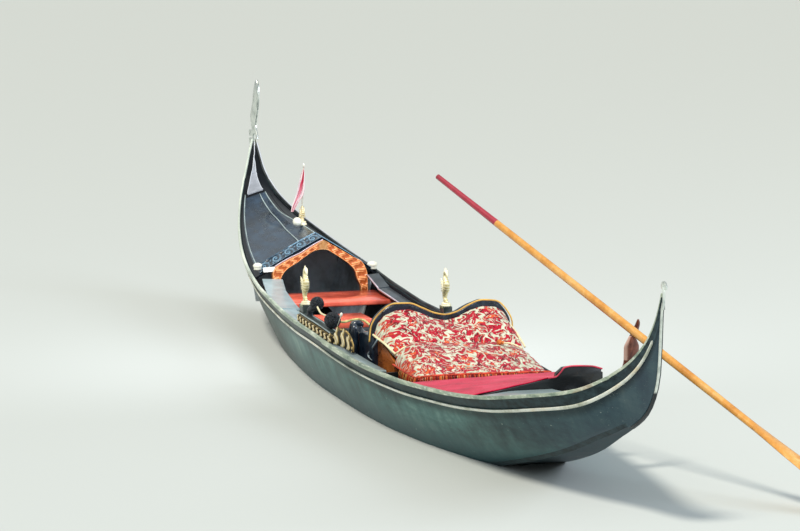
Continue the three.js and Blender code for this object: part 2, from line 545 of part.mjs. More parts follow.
// Damask cover that slopes down aft from the back, over wooden cheeks, and the padded lid behind it
const crest = through([
  { x: -446, z: 800 }, { x: -405, z: 886 }, { x: -350, z: 918 }, { x: -260, z: 926 }, { x: -170, z: 900 }, { x: -80, z: 858 }, { x: 0, z: 842 },
  { x: 80, z: 856 }, { x: 170, z: 896 }, { x: 260, z: 926 }, { x: 350, z: 928 }, { x: 430, z: 892 }, { x: 478, z: 836 }, { x: 506, z: 760 },
], 'z');
const COVER_Y = [-446, -405, -350, -260, -170, -80, 0, 80, 170, 260, 350, 430, 478, 506];
put('sofa_cover', loft(COVER_Y.map((y) => {
  const z = crest(y);
  const low = 668 + 30 * Math.cos(y / 320);
  return [[-1010.4, y, z], [-1034, y, z + 4], [-1260, y * 0.97, (z + low) / 2 + 34], [-1488, y * 0.94, low + 14],
    [-1488, y * 0.94, low - 10], [-1260, y * 0.97, (z + low) / 2 + 8], [-1036, y, z - 26], [-1010.4, y, z - 22]];
})), 'damask');
for (const [name, s, y] of [['port', 1, 474], ['starboard', -1, 404]]) {
  put(`sofa_cheek_${name}`, along([[-1010.4, 300], [-1010.4, 720], [-1100, 720], [-1260, 694], [-1440, 640], [-1440, 480], [-1300, 300]],
    Math.min(s * y, s * (y - 24)), Math.max(s * y, s * (y - 24))), 'orange');
}
put('low_cover', loft([[LID.fore, 150, 0.97], [-1580, 186, 1], [-1760, 160, 1], [-1980, 100, 1], [LID.aft, 44, 1]].map(([x, rise, f]) => {
  const z = LID.z;
  const p = 505 * f;
  const q = -396 * f;
  return [[x, p, z], [x, p, z + rise * 0.3], [x, p - 30, z + rise * 0.68], [x, p - 120, z + rise], [x, p - 300, z + rise * 0.94], [x, q + 110, z + rise * 0.82],
    [x, q + 30, z + rise * 0.6], [x, q, z + rise * 0.3], [x, q, z]];
})), 'damask');

// Armchair
const between = (s, a, b) => [Math.min(s * a, s * b), Math.max(s * a, s * b)];
function chair(name, s) {
  const out = s > 0 ? 425 : 344;
  const inn = out - 270;
  put(`armchair_${name}`, joined([
    block(140, 600, ...between(s, inn, out), FLOOR_TOP + FIT, 360),
    block(140, 226, ...between(s, inn, out), 350, 700),
    block(140, 590, ...between(s, out - 40, out), 350, 540),
  ]), 'leather');
  put(`armchair_${name}_cushion`, block(228, 598, ...between(s, inn + 6, out - 44), 360 + FIT, 440), 'leather');
}
chair('starboard', -1);

// Armrests: a narrow rail along the inside of each sheer with a gilded panel under it, whose aft
// end rises in a leaf (x, rise, inboard), and a gilded figure on a block at the rail's fore end
const REST = { rise: 36, thick: 20, out: 36, wide: 68, block: 58, figure: 400 };
const SIDES = [
  { name: 'port', s: 1, fore: 480, aft: -560, leaf: [[-980, 40, 52], [-900, 92, 50], [-800, 112, 44], [-680, 104, 26], [-590, 42, 6]] },
  { name: 'starboard', s: -1, fore: 480, aft: -270, leaf: [] },
];
const restWall = (x, s) => inside(x, s, side(x, s) - 35);
for (const { name, s, fore, aft, leaf } of SIDES) {
  const railX = [aft, -150, 0, 200, 380, fore];
  const run = railX.map((x) => [x, REST.rise, 0]);
  put(`gilded_panel_${name}`, loft([...leaf, ...run].map(([x, rise, inboard]) => {
    const y = restWall(x, s) - s * (REST.out - 4 + inboard);
    const z = side(x, s) - BOARD_DROP + 1;
    const top = side(x, s) + rise - FIT;
    return [[x, y, z], [x, y - s * 16, z], [x, y - s * 16, top], [x, y, top]];
  })), 'gilt');
  const base = side(REST.figure, s) + REST.rise + REST.thick;
  const mid = Math.abs(restWall(REST.figure, s)) - REST.out - REST.wide / 2;
  put(`armrest_${name}`, joined([
    loft(railX.map((x) => {
      const y = restWall(x, s) - s * REST.out;
      const z = side(x, s) + REST.rise;
      const t = z + REST.thick;
      return [[x, y, z], [x, y, t - 6], [x, y - s * 8, t], [x, y - s * (REST.wide - 8), t], [x, y - s * REST.wide, t - 6], [x, y - s * REST.wide, z]];
    })),
    block(REST.figure - 58, REST.figure + 58, ...between(s, mid - 32, mid + 32), base - 8, base + REST.block),
  ]), 'leather');
  const x = REST.figure;
  const y = s * mid;
  const z = base + REST.block + 1.2;
  put(`seahorse_${name}`, bar([
    { at: [x, y, z], r: 36 }, { at: [x, y, z + 26], r: 32 }, { at: [x, y, z + 50], r: 20 }, { at: [x - 14, y, z + 95], r: 34, wide: 30 },
    { at: [x + 6, y, z + 152], r: 30, wide: 25 }, { at: [x + 24, y, z + 200], r: 19 }, { at: [x + 10, y, z + 243], r: 22, wide: 15 },
    { at: [x + 2, y, z + 275], r: 8 },
  ], 12), 'gilt');
}

// Two balls of cut wool on the port rail. The fore one stands out on a thick stalk.
const ball = (x, y, z, r) => bar([-78, -52, -26, 0, 26, 52, 78].map((deg) => {
  const a = (deg * Math.PI) / 180;
  return { at: [x, y, z + r * Math.sin(a)], r: r * Math.cos(a) };
}), 14);
const railTop = (x) => side(x, 1) + REST.rise + REST.thick;
const FORE_BALL = { at: [70, 636, 842], r: 48, foot: 215 };
const AFT_BALL = { x: -410, y: 642, r: 58 };
put('pompon_fore', joined([
  ball(...FORE_BALL.at, FORE_BALL.r),
  bar([{ at: [FORE_BALL.foot, 655, railTop(FORE_BALL.foot) + 0.8], r: 22 }, { at: [FORE_BALL.foot, 655, railTop(FORE_BALL.foot) + 18], r: 24 },
    { at: [150, 646, 800], r: 24 }, { at: [FORE_BALL.at[0] + 20, 638, 834], r: 26 }], 10),
]), 'leather');
put('pompon_aft', ball(AFT_BALL.x, AFT_BALL.y, railTop(AFT_BALL.x) + 0.8 + AFT_BALL.r * Math.sin((78 * Math.PI) / 180), AFT_BALL.r), 'leather');

// Ornament, flag pole and flag on the foredeck
const POLE_X = 3230;
const poleFoot = deckTop(POLE_X, 0.001) + 11.5;
put('bow_ornament', bar([
  { at: [POLE_X, 0, poleFoot], r: 34 }, { at: [POLE_X, 0, poleFoot + 22], r: 26 }, { at: [POLE_X, 0, poleFoot + 40], r: 14 }, { at: [POLE_X + 8, 0, poleFoot + 80], r: 30, wide: 22 },
  { at: [POLE_X - 6, 0, poleFoot + 120], r: 24, wide: 18 }, { at: [POLE_X, 0, poleFoot + 160], r: 10 },
], 12), 'gilt');
const poleTop = [POLE_X - 66, 0, poleFoot + 500];
put('flag_pole', bar([{ at: [POLE_X, 0, poleFoot + 164], r: 7 }, { at: poleTop, r: 5 }], 10), 'ridge');
// The flag hangs down aft of the pole and blows to port. y: to port, h: height over the pole's foot
const FLAG = [
  [4, 476], [-12, 408], [-16, 318], [-6, 250], [16, 236], [44, 196], [66, 142], [76, 108], [94, 108], [88, 182], [64, 262], [38, 342], [14, 432],
];
const flagFace = (out) => FLAG.map(([y, h]) => [POLE_X - 66 * ((h - 161) / 339) - out, y, poleFoot + h]);
put('flag', loft([flagFace(9), flagFace(12)]), 'cloth');

// Rowlock post and the oar in it
const CROOK = [-3680, -430, 1120];
const FOOT = sheer(-3600) - 16;
const post = bar([
  { at: [-3600, -262, FOOT + 14], r: 46, wide: 26 }, { at: [-3600, -264, FOOT + 90], r: 54, wide: 28 }, { at: [-3618, -310, 900], r: 56, wide: 30 },
  { at: [-3652, -384, 1000], r: 42, wide: 28 }, { at: [-3680, -430, 1062], r: 24, wide: 22 }, { at: [-3680, -430, 1080], r: 20, wide: 18 },
], 14);
const horn = bar([
  { at: [-3628, -388, 960], r: 26 }, { at: [-3590, -440, 1060], r: 20 }, { at: [-3588, -490, 1130], r: 16 }, { at: [-3606, -500, 1170], r: 10 },
], 12);
put('forcola', joined([post, horn]), 'walnut');

const oar = new THREE.Group();
oar.name = 'oar';
part.add(oar);
const AIM = new THREE.Vector3(-0.8, -0.415, -0.43).normalize();
const onOar = (d) => [CROOK[0] + AIM.x * d, CROOK[1] + AIM.y * d, CROOK[2] + AIM.z * d];
put('oar_shaft', bar([{ at: onOar(-1300), r: 22 }, { at: onOar(-300), r: 25 }, { at: onOar(0), r: 26 }, { at: onOar(700), r: 24 }, { at: onOar(1100), r: 20, wide: 30 }], 16), 'oar', oar);
put('oar_handle', bar([{ at: onOar(-1900), r: 17 }, { at: onOar(-1600), r: 19 }, { at: onOar(-1300.3), r: 22 }], 16), 'oarRed', oar);
put('oar_blade', bar([{ at: onOar(1100.3), r: 20, wide: 30 }, { at: onOar(1400), r: 14, wide: 56 }, { at: onOar(1900), r: 10, wide: 76 }, { at: onOar(2280), r: 8, wide: 80 }], 16), 'oar', oar);

export default part;
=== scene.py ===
# Gondola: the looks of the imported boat. Metres, +X to the bow, +Y to port, +Z up.
import math
import random

import bmesh
import bpy
import numpy as np
from mathutils import Matrix, Vector


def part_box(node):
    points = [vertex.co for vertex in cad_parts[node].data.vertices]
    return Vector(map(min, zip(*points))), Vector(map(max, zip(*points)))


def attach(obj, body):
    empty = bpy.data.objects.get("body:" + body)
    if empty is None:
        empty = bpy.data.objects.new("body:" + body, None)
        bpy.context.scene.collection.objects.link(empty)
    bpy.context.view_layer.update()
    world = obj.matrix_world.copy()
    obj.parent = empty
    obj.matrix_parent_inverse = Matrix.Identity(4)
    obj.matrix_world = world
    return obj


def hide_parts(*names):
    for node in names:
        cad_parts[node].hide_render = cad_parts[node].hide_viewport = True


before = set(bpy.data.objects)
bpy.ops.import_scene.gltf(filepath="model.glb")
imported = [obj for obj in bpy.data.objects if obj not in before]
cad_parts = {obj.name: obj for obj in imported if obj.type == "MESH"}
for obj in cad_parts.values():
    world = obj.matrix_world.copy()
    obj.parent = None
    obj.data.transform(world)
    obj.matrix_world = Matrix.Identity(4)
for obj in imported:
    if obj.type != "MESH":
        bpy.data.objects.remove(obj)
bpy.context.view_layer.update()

# Camera. The photograph was taken from about 23 m off the boat's port quarter, 4 m above its
# bottom, with a long lens that looks a little down.
PHOTO_WIDTH = 800
SENSOR = 36.0
FOCAL_PIXELS = 3317
EYE = Vector((-22.5132, 5.9777, 4.0063))
YAW, PITCH, ROLL = -0.2576, 0.1243, -0.0098


def aim(yaw, pitch, roll):
    ahead = Vector((math.cos(yaw) * math.cos(pitch), math.sin(yaw) * math.cos(pitch), -math.sin(pitch)))
    level = ahead.cross(Vector((0, 0, 1))).normalized()
    above = level.cross(ahead)
    right = math.cos(roll) * level + math.sin(roll) * above
    up = math.cos(roll) * above - math.sin(roll) * level
    return Matrix((right, up, -ahead)).transposed().to_4x4()


lens = bpy.data.cameras.new("camera")
lens.sensor_width = SENSOR
lens.lens = SENSOR * FOCAL_PIXELS / PHOTO_WIDTH
lens.clip_end = 400
camera = bpy.data.objects.new("camera", lens)
camera.matrix_world = Matrix.Translation(EYE) @ aim(YAW, PITCH, ROLL)
bpy.context.scene.collection.objects.link(camera)
bpy.context.scene.camera = camera

# Hull planking. Long boards are bent round the frames from post to post, fuller to port than to
# starboard, and painted with many coats of gloss black that shows every scuff.
PLANK = 0.020
PAINT_WAVE = 0.010
STRAKE_DEPTH = (0.064, 0.058)
SIDES = ((1, "port"), (-1, "starboard"))


class Signal:
    """A shader output that Python can reckon with: each operator adds its Math node."""

    def __init__(self, finish, socket):
        self.finish = finish
        self.socket = socket

    def reckon(self, operation, *values):
        return self.finish.node("ShaderNodeMath", {"operation": operation}, dict(enumerate(values)))

    def __add__(self, other):
        return self.reckon("ADD", self, other)

    def __radd__(self, other):
        return self.reckon("ADD", other, self)

    def __sub__(self, other):
        return self.reckon("SUBTRACT", self, other)

    def __rsub__(self, other):
        return self.reckon("SUBTRACT", other, self)

    def __mul__(self, other):
        return self.reckon("MULTIPLY", self, other)

    def __rmul__(self, other):
        return self.reckon("MULTIPLY", other, self)

    def __truediv__(self, other):
        return self.reckon("DIVIDE", self, other)

    def __mod__(self, other):
        return self.reckon("FLOORED_MODULO", self, other)

    def __abs__(self):
        return self.reckon("ABSOLUTE", self)

    def floor(self):
        return self.reckon("FLOOR", self)

    def root(self):
        return self.reckon("SQRT", self)

    def sine(self):
        return self.reckon("SINE", self)

    def bearing(self, across):
        return self.reckon("ARCTAN2", self, across)

    def most(self, other):
        return self.reckon("MAXIMUM", self, other)

    def least(self, other):
        return self.reckon("MINIMUM", self, other)

    def rise(self, low, high):
        """0 below low, 1 above high, and smooth between them."""
        sockets = {"Value": self, "From Min": low, "From Max": high}
        return self.finish.node("ShaderNodeMapRange", {"interpolation_type": "SMOOTHSTEP"}, sockets)


def tint(code):
    """A screen colour such as c0692a as the linear colour that a shader takes."""
    parts = [int(code[i:i + 2], 16) / 255 for i in (0, 2, 4)]
    return tuple(c / 12.92 if c <= 0.04045 else ((c + 0.055) / 1.055) ** 2.4 for c in parts) + (1.0,)


class Finish:
    """A material of one paint, wood, metal or cloth."""

    def __init__(self, name, plain):
        self.material = bpy.data.materials.new(name)
        self.material.use_nodes = True
        self.tree = self.material.node_tree
        self.shader = self.tree.nodes["Principled BSDF"]
        for socket, value in plain.items():
            self.shader.inputs[socket].default_value = value

    def node(self, kind, settings, sockets, out=0):
        made = self.tree.nodes.new(kind)
        for name, value in settings.items():
            if name == "stops":
                marks = made.color_ramp.elements
                while len(marks) < len(value):
                    marks.new(0.5)
                for mark, (place, colour) in zip(marks, value):
                    mark.position = place
                    mark.color = colour
            else:
                setattr(made, name, value)
        for key, value in sockets.items():
            if isinstance(value, Signal):
                self.tree.links.new(value.socket, made.inputs[key])
            else:
                made.inputs[key].default_value = value
        return Signal(self, made.outputs[out])

    def place(self):
        return self.node("ShaderNodeTexCoord", {}, {}, out="Object")

    def cloth(self):
        return self.node("ShaderNodeTexCoord", {}, {}, out="UV")

    def part(self, vector, axis):
        return self.node("ShaderNodeSeparateXYZ", {}, {0: vector}, out=axis)

    def joined(self, x, y, z=0.0):
        return self.node("ShaderNodeCombineXYZ", {}, {0: x, 1: y, 2: z})

    def stretched(self, vector, by):
        return self.node("ShaderNodeVectorMath", {"operation": "MULTIPLY"}, {0: vector, 1: by})

    def grain(self, vector, scale, detail=3.0, rough=0.5, bend=0.0):
        sockets = {"Vector": vector, "Scale": scale, "Detail": detail, "Roughness": rough, "Distortion": bend}
        return self.node("ShaderNodeTexNoise", {}, sockets)

    def cells(self, vector, scale):
        return self.node("ShaderNodeTexVoronoi", {"feature": "F1"}, {"Vector": vector, "Scale": scale})

    def blend(self, amount, first, second):
        return self.node("ShaderNodeMix", {"data_type": "RGBA"}, {0: amount, 6: first, 7: second}, out=2)

    def shades(self, signal, *stops):
        return self.node("ShaderNodeValToRGB", {"stops": [(p, tint(c)) for p, c in stops]}, {0: signal})

    def relief(self, height, depth, strength=1.0):
        return self.node("ShaderNodeBump", {}, {"Height": height, "Distance": depth, "Strength": strength})

    def feed(self, colour, rough=None, metal=None, coat=None, normal=None):
        wanted = {"Base Color": colour, "Roughness": rough, "Metallic": metal, "Coat Weight": coat,
                  "Normal": normal}
        for socket, signal in wanted.items():
            if signal is not None:
                self.tree.links.new(signal.socket, self.shader.inputs[socket])
        return self.material


def hull_paint():
    paint = Finish("hull_paint", {"Specular IOR Level": 0.07})
    place = paint.place()
    ahead, height = paint.part(place, 0), paint.part(place, 2)
    below = paint.part(paint.cloth(), 1)
    broad = paint.grain(paint.stretched(place, (0.45, 0.8, 1.7)), 1.9, 4.0, 0.6, 0.5)
    fine = paint.grain(paint.stretched(place, (1.2, 1.0, 3.0)), 11.0, 5.0, 0.65)
    vertical_streaks = paint.grain(paint.stretched(place, (6.0, 6.0, 0.45)), 1.7, 3.0, 0.55)
    tone = broad * 0.55 + fine * 0.2 + vertical_streaks * 0.25
    # The mottled green-grey, bluer towards the waterline, is painted reflection on the gloss black paint.
    colour = paint.shades(tone, (0.36, "33494a"), (0.46, "4a6967"), (0.55, "5d8480"), (0.66, "86a59c"))
    low = height.rise(0.52, 0.24) * (broad * 0.8 + 0.45).least(1.0)
    colour = paint.blend(low, colour, tint("36545a"))
    # Darker towards the bow and towards the stern: painted shade.
    colour = paint.blend(ahead.rise(0.2, 2.8) * 0.78, colour, tint("26322c"))
    colour = paint.blend(ahead.rise(-3.0, -4.8) * 0.75, colour, tint("2a3346"))
    # A dark band just below the rubbing strip: painted shadow of the strip.
    wale_shadow = below.rise(0.070, 0.090) * below.rise(0.150, 0.095)
    colour = paint.blend(wale_shadow * 0.6, colour, tint("141c1f"))
    scratch = paint.grain(paint.stretched(place, (1.3, 1.0, 8.0)), 24.0, 2.0, 0.5, 1.8).rise(0.70, 0.74)
    fleck = paint.cells(paint.stretched(place, (1.0, 1.0, 1.9)), 13.0).rise(0.11, 0.05)
    fleck = fleck * paint.grain(place, 2.6).rise(0.56, 0.62)
    worn = (scratch * 0.35 + fleck * 0.75).least(1.0)
    colour = paint.blend(worn, colour, tint("b9c8be"))
    strake = below.rise(*STRAKE_DEPTH)
    colour = paint.blend(strake * 0.9, colour, paint.shades(fine, (0.35, "161f22"), (0.65, "33454a")))
    wave = paint.grain(paint.stretched(place, (0.5, 1.0, 1.6)), 2.4, 2.0)
    normal = paint.relief(wave + fine * 0.05, PAINT_WAVE, 0.3)
    return paint.feed(colour, worn * 0.2 + fine * 0.2 + 0.24, normal=normal)


def stations(node):
    """The corners of a node that was lofted along the boat, station by station."""
    rows = {}
    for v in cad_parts[node].data.vertices:
        rows.setdefault(round(v.co.x, 3), set()).add((round(v.co.y, 4), round(v.co.z, 4)))
    return dict(sorted(rows.items()))


def outermost(points, s):
    """The outer point at each height, from the lowest up."""
    levels = {}
    for y, z in points:
        levels.setdefault(z, []).append(s * y)
    return [(s * max(reach), z) for z, reach in sorted(levels.items())]


def fair(xs, ys, at):
    """A fair curve through the points, read at each place. It never overshoots."""
    xs, ys, at = (np.asarray(a, float) for a in (xs, ys, at))
    step = np.diff(xs)
    slope = np.diff(ys) / step
    lean = np.zeros_like(ys)
    lean[0], lean[-1] = slope[0], slope[-1]
    before, after = slope[:-1], slope[1:]
    same = before * after > 0
    w1 = 2 * step[1:] + step[:-1]
    w2 = step[1:] + 2 * step[:-1]
    mean = (w1 + w2) / (w1 / np.where(same, before, 1) + w2 / np.where(same, after, 1))
    lean[1:-1] = np.where(same, mean, 0)
    i = np.clip(np.searchsorted(xs, at) - 1, 0, len(xs) - 2)
    t = (at - xs[i]) / step[i]
    low = (2 * t ** 3 - 3 * t ** 2 + 1) * ys[i] + (t ** 3 - 2 * t ** 2 + t) * step[i] * lean[i]
    high = (3 * t ** 2 - 2 * t ** 3) * ys[i + 1] + (t ** 3 - t ** 2) * step[i] * lean[i + 1]
    return low + high


def faired(rows, measure, places, passes):
    """One measure of each station, drawn along the boat with its small kinks taken off."""
    return planed(fair(list(rows), [measure(p) for p in rows.values()], places), passes)


def planed(line, passes):
    """The line with its small kinks taken off. Its ends stay."""
    line = np.array(line, float)
    for _ in range(passes):
        line[1:-1] = (line[:-2] + 2 * line[1:-1] + line[2:]) / 4
    return line


LEVELS = np.linspace(0, 1, 6)
STERN_JOINT, BOW_JOINT = -4.95, 4.83
SKIN = {1: {}, -1: {}}
for x, points in stations("hull_bottom").items():
    low = min(z for y, z in points)
    for s in SKIN:
        SKIN[s][x] = [(s * max(s * y for y, z in points if z < low + 0.001), low)]
for s, side in SIDES:
    for x, points in stations("side_" + side).items():
        SKIN[s][x] += outermost(points, s)[1:]
    for node, first, last in (("stern_stem", -6.0, STERN_JOINT - 0.001),
                              ("bow_stem", BOW_JOINT + 0.001, 6.0)):
        for x, points in stations(node).items():
            if first < x < last:
                SKIN[s][x] = outermost([p for p in points if s * p[0] > 0], s)
SKIN = {s: dict(sorted(rows.items())) for s, rows in SKIN.items()}


def section(s, x):
    """y and z of the planking's six levels at x."""
    return [[fair(list(SKIN[s]), [row[k][c] for row in SKIN[s].values()], [x])[0] for k in range(6)]
            for c in (0, 1)]


def shell(s, xs, share, passes=6):
    """Outer face of the planking: y and z for each x (rows) and each share of the height (columns)."""
    lines = [[[row[k][c] for row in SKIN[s].values()] for k in range(6)] for c in (0, 1)]
    drawn = np.array([[planed(fair(list(SKIN[s]), lines[c][k], xs), passes) for k in range(6)]
                      for c in (0, 1)])
    share = np.broadcast_to(share, (len(xs), np.shape(share)[-1]))
    return [np.array([fair(LEVELS, drawn[c, :, i], share[i]) for i in range(len(xs))]) for c in (0, 1)]


def made(name, form, finish, slot, stands_for=None, crease=None, uv=None, smooth=True):
    """A piece of the boat from its corners and faces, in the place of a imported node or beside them."""
    mesh = bpy.data.meshes.new(name)
    mesh.from_pydata([tuple(map(float, c)) for c in form[0]], [], form[1])
    if uv is not None:
        layer = mesh.uv_layers.new(name="laid")
        for loop in mesh.loops:
            layer.data[loop.index].uv = uv[loop.vertex_index]
    bm = bmesh.new()
    bm.from_mesh(mesh)
    bmesh.ops.recalc_face_normals(bm, faces=bm.faces)
    bm.to_mesh(mesh)
    bm.free()
    mesh.polygons.foreach_set("use_smooth", [smooth] * len(mesh.polygons))
    if crease:
        mesh.set_sharp_from_angle(angle=math.radians(crease))
    mesh.materials.append(finish)
    obj = bpy.data.objects.new(name, mesh)
    bpy.context.scene.collection.objects.link(obj)
    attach(obj, "boat")
    if stands_for:
        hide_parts(stands_for)
    return obj


def strung(rings):
    """Corners and faces of a closed skin over rings of equal count."""
    n, last = len(rings[0]), len(rings) - 1
    faces = [(i * n + j, i * n + (j + 1) % n, (i + 1) * n + (j + 1) % n, (i + 1) * n + j)
             for i in range(last) for j in range(n)]
    faces += [tuple(range(n))[::-1], tuple(range(last * n, (last + 1) * n))]
    return [p for ring in rings for p in ring], faces


def repaint(obj, chosen):
    """Dull black on the faces that are chosen."""
    obj.data.materials.append(BLACK_AND_PAINTED_SHADE)
    for face in obj.data.polygons:
        face.material_index = int(chosen(face))


HULL_PAINT = hull_paint()
# Dull black: the real black inside the planking and on the posts' tops, and painted shade on the foredeck's
# starboard slope and beads.
BLACK_AND_PAINTED_SHADE = Finish("black_and_painted_shade",
                    {"Base Color": tint("0d1218"), "Roughness": 0.35, "Specular IOR Level": 0.2}).material
SIDE_X = np.linspace(STERN_JOINT, BOW_JOINT, 260)
STRIPS = 16
for s, side in SIDES:
    rows = stations("side_" + side)
    low = fair(list(rows), [min(z for _, z in p) for p in rows.values()], SIDE_X)
    keel, sheer = (fair(list(SKIN[s]), [row[k][1] for row in SKIN[s].values()], SIDE_X) for k in (0, 5))
    first = (low - keel) / (sheer - keel)
    share = first[:, None] + (1 - first[:, None]) * np.linspace(0, 1, STRIPS)
    y, z = shell(s, SIDE_X, share)
    rings, uv = [], []
    for i, x in enumerate(SIDE_X):
        outer = [(x, y[i, j], z[i, j]) for j in range(STRIPS)]
        inner = [(x, y[i, j] - s * PLANK, z[i, j]) for j in range(STRIPS - 1, -1, -1)]
        rings.append(outer + inner)
        uv += [(x, sheer[i] - p[2]) for p in rings[-1]]
    plank = made("side_" + side + "_planks", strung(rings), HULL_PAINT, "black", "side_" + side, 50, uv)
    sides_end = 2 * STRIPS * (len(SIDE_X) - 1)
    repaint(plank,
            lambda face: STRIPS <= face.index % (2 * STRIPS) < 2 * STRIPS - 1 and face.index < sides_end)

POST_STRIPS = 12
for name, node, xs in (("stern_post", "stern_stem", np.linspace(-5.47, -4.9503, 40)),
                       ("stem_post", "bow_stem", np.linspace(4.8303, 5.02, 20))):
    port, star = (shell(s, xs, np.linspace(0, 1, POST_STRIPS), 0) for s in (1, -1))
    rings, uv = [], []
    for i, x in enumerate(xs):
        rings.append([(x, *p) for p in zip(port[0][i], port[1][i])]
                     + [(x, *p) for p in zip(star[0][i][::-1], star[1][i][::-1])])
        uv += [(x, port[1][i, -1] - p[2]) for p in rings[-1]]
    post = made(name, strung(rings), HULL_PAINT, "black", node, 50, uv)
    heads = range(POST_STRIPS - 1, 2 * POST_STRIPS * (len(xs) - 1), 2 * POST_STRIPS)
    repaint(post, lambda face: face.index in heads)


def dress(node, finish, ease=0.0015, crease=35):
    """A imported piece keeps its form, gets its finish, and its hard edges are eased."""
    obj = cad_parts[node]
    obj.data.materials.clear()
    obj.data.materials.append(finish)
    obj.data.polygons.foreach_set("use_smooth", [True] * len(obj.data.polygons))
    weld = obj.modifiers.new("weld", "WELD")
    weld.merge_threshold = 0.0001
    if ease:
        eased = obj.modifiers.new("ease", "BEVEL")
        eased.width = ease
        eased.segments = 2
        eased.limit_method = "ANGLE"
        eased.angle_limit = math.radians(crease)
        eased.harden_normals = True
    else:
        split = obj.modifiers.new("split", "EDGE_SPLIT")
        split.split_angle = math.radians(crease)


dress("hull_bottom", HULL_PAINT, 0)

# Caps on the sheer. A flat strip of wood is nailed on top of each side, its paint worn grey by
# long use. To port a wider plank is scarfed in from abreast of the sofa to the stern.
SCARF_X = -0.62
WIDER = 0.009


def cap_paint():
    paint = Finish("cap_paint", {"Specular IOR Level": 0.35})
    place = paint.place()
    long = paint.stretched(place, (0.3, 1.0, 1.0))
    patch = paint.grain(long, 8.0, 5.0, 0.65, 0.8)
    fine = paint.grain(paint.stretched(place, (0.22, 1.0, 1.0)), 70.0, 3.0)
    colour = paint.shades(patch, (0.28, "4e5f54"), (0.42, "7f9181"), (0.54, "a6b3a0"), (0.68, "d8ddcd"))
    bare = paint.grain(long, 3.0, 3.0).rise(0.60, 0.66)
    colour = paint.blend(bare * 0.6, colour, tint("9c8064"))
    colour = paint.blend(fine.rise(0.55, 0.70) * 0.45, colour, tint("e9eee2"))
    colour = paint.blend(paint.part(place, 0).rise(1.2, 3.4) * 0.55, colour, tint("e4ebe0"))
    # The inboard part of the starboard cap is darkened: painted shade.
    lean = paint.part(place, 1).rise(-0.004, -0.012) * paint.part(paint.cloth(), 0).rise(0.74, 0.66)
    colour = paint.blend(lean, colour, paint.shades(patch, (0.40, "14191c"), (0.60, "353d40")))
    return paint.feed(colour, patch * 0.3 + 0.3, normal=paint.relief(patch * 0.5 + fine * 0.5, 0.002, 0.6))


CAP_PAINT = cap_paint()
CAP_HEIGHT = 0.0217
CAP_LINE = {}
for s, side in SIDES:
    rows = stations("gunwale_" + side)
    reach = np.concatenate([np.linspace(min(rows), -4.9, 70), np.linspace(-4.86, 4.8, 240),
                            np.linspace(4.82, max(rows), 40)])
    inner = faired(rows, lambda p: min(abs(y) for y, _ in p), reach, 2)
    outer = faired(rows, lambda p: max(abs(y) for y, _ in p), reach, 2)
    foot = faired(rows, lambda p: min(z for _, z in p), reach, 2)
    CAP_LINE[s] = (reach, outer, foot + CAP_HEIGHT)
    rings, uv = [], []
    for x, a, b, z in zip(reach, inner, outer, foot):
        if s > 0 and -4.6 < x < SCARF_X:
            b += WIDER
        r = min(0.007, (b - a) * 0.3)
        top = z + CAP_HEIGHT
        ring = [(a, z), (b, z), (b, top - r * 1.2), (b - r * 0.3, top - r * 0.4), (b - r, top), (a + r, top),
                (a + r * 0.3, top - r * 0.3), (a, top - r)]
        rings.append([(x, s * q, h) for q, h in ring])
        uv += [((q - a) / (b - a), 0.5) for q, _ in ring]
    made("gunwale_" + side + "_cap", strung(rings), CAP_PAINT, "worn", "gunwale_" + side, 60, uv)


# Rubbing strips. A half-round strip of wood is nailed along each side, a hand below the cap. It
# takes the knocks, so its white paint is chipped.
def strip_paint():
    paint = Finish("strip_paint", {"Specular IOR Level": 0.5})
    patch = paint.grain(paint.stretched(paint.place(), (0.5, 1.0, 1.0)), 6.0, 5.0, 0.7)
    colour = paint.shades(patch, (0.28, "6d736a"), (0.40, "b9bda9"), (0.54, "eff2e8"), (0.72, "e3d3b0"))
    return paint.feed(colour, patch * 0.3 + 0.2, normal=paint.relief(patch, 0.0015, 0.4))


STRIP_PAINT = strip_paint()
for s, side in SIDES:
    rows = {x: sorted(p, key=lambda q: q[1]) for x, p in stations("wale_" + side).items()}
    places = np.linspace(min(rows), max(rows), 300)
    low, high = (faired(rows, lambda p: p[k][1], places, 3) for k in (0, 3))
    back_low, back_high = (faired(rows, lambda p: abs(p[k][0]), places, 3) for k in (0, 3))
    front = faired(rows, lambda p: (abs(p[1][0]) + abs(p[2][0])) / 2, places, 3)
    rings = []
    for i, x in enumerate(places):
        ring = []
        for k in range(9):
            a = math.pi * (k / 8 - 0.5)
            f = (math.sin(a) + 1) / 2
            back = back_low[i] + (back_high[i] - back_low[i]) * f
            proud = front[i] - (back_low[i] + back_high[i]) / 2
            out = proud * math.cos(a) ** 0.6 if 0 < k < 8 else 0.0
            ring.append((x, s * (back + out), (low[i] + high[i]) / 2 + (high[i] - low[i]) * (f - 0.5) * 0.76))
        rings.append(ring)
    made("wale_" + side + "_strip", strung(rings), STRIP_PAINT, "worn", "wale_" + side, 70)

# Floor of the studio, and light. The floor is a pale sheet at the line that the boat floats on,
# with the hull's own outline left open in it. A soft sun and two lamps light the boat.
WATER = 0.22
FLOOR_REACH = 260.0
LIGHT_FROM_ALL_ROUND = 0.55


def waterline(s):
    """The hull's outline at the water, half a plank in from its skin."""
    line = []
    for x in np.linspace(-4.4, 4.2, 160):
        ys, zs = section(s, x)
        if zs[0] < WATER - 0.004:
            line.append((x, fair(zs, ys, [WATER])[0] - s * PLANK / 2))
    return line


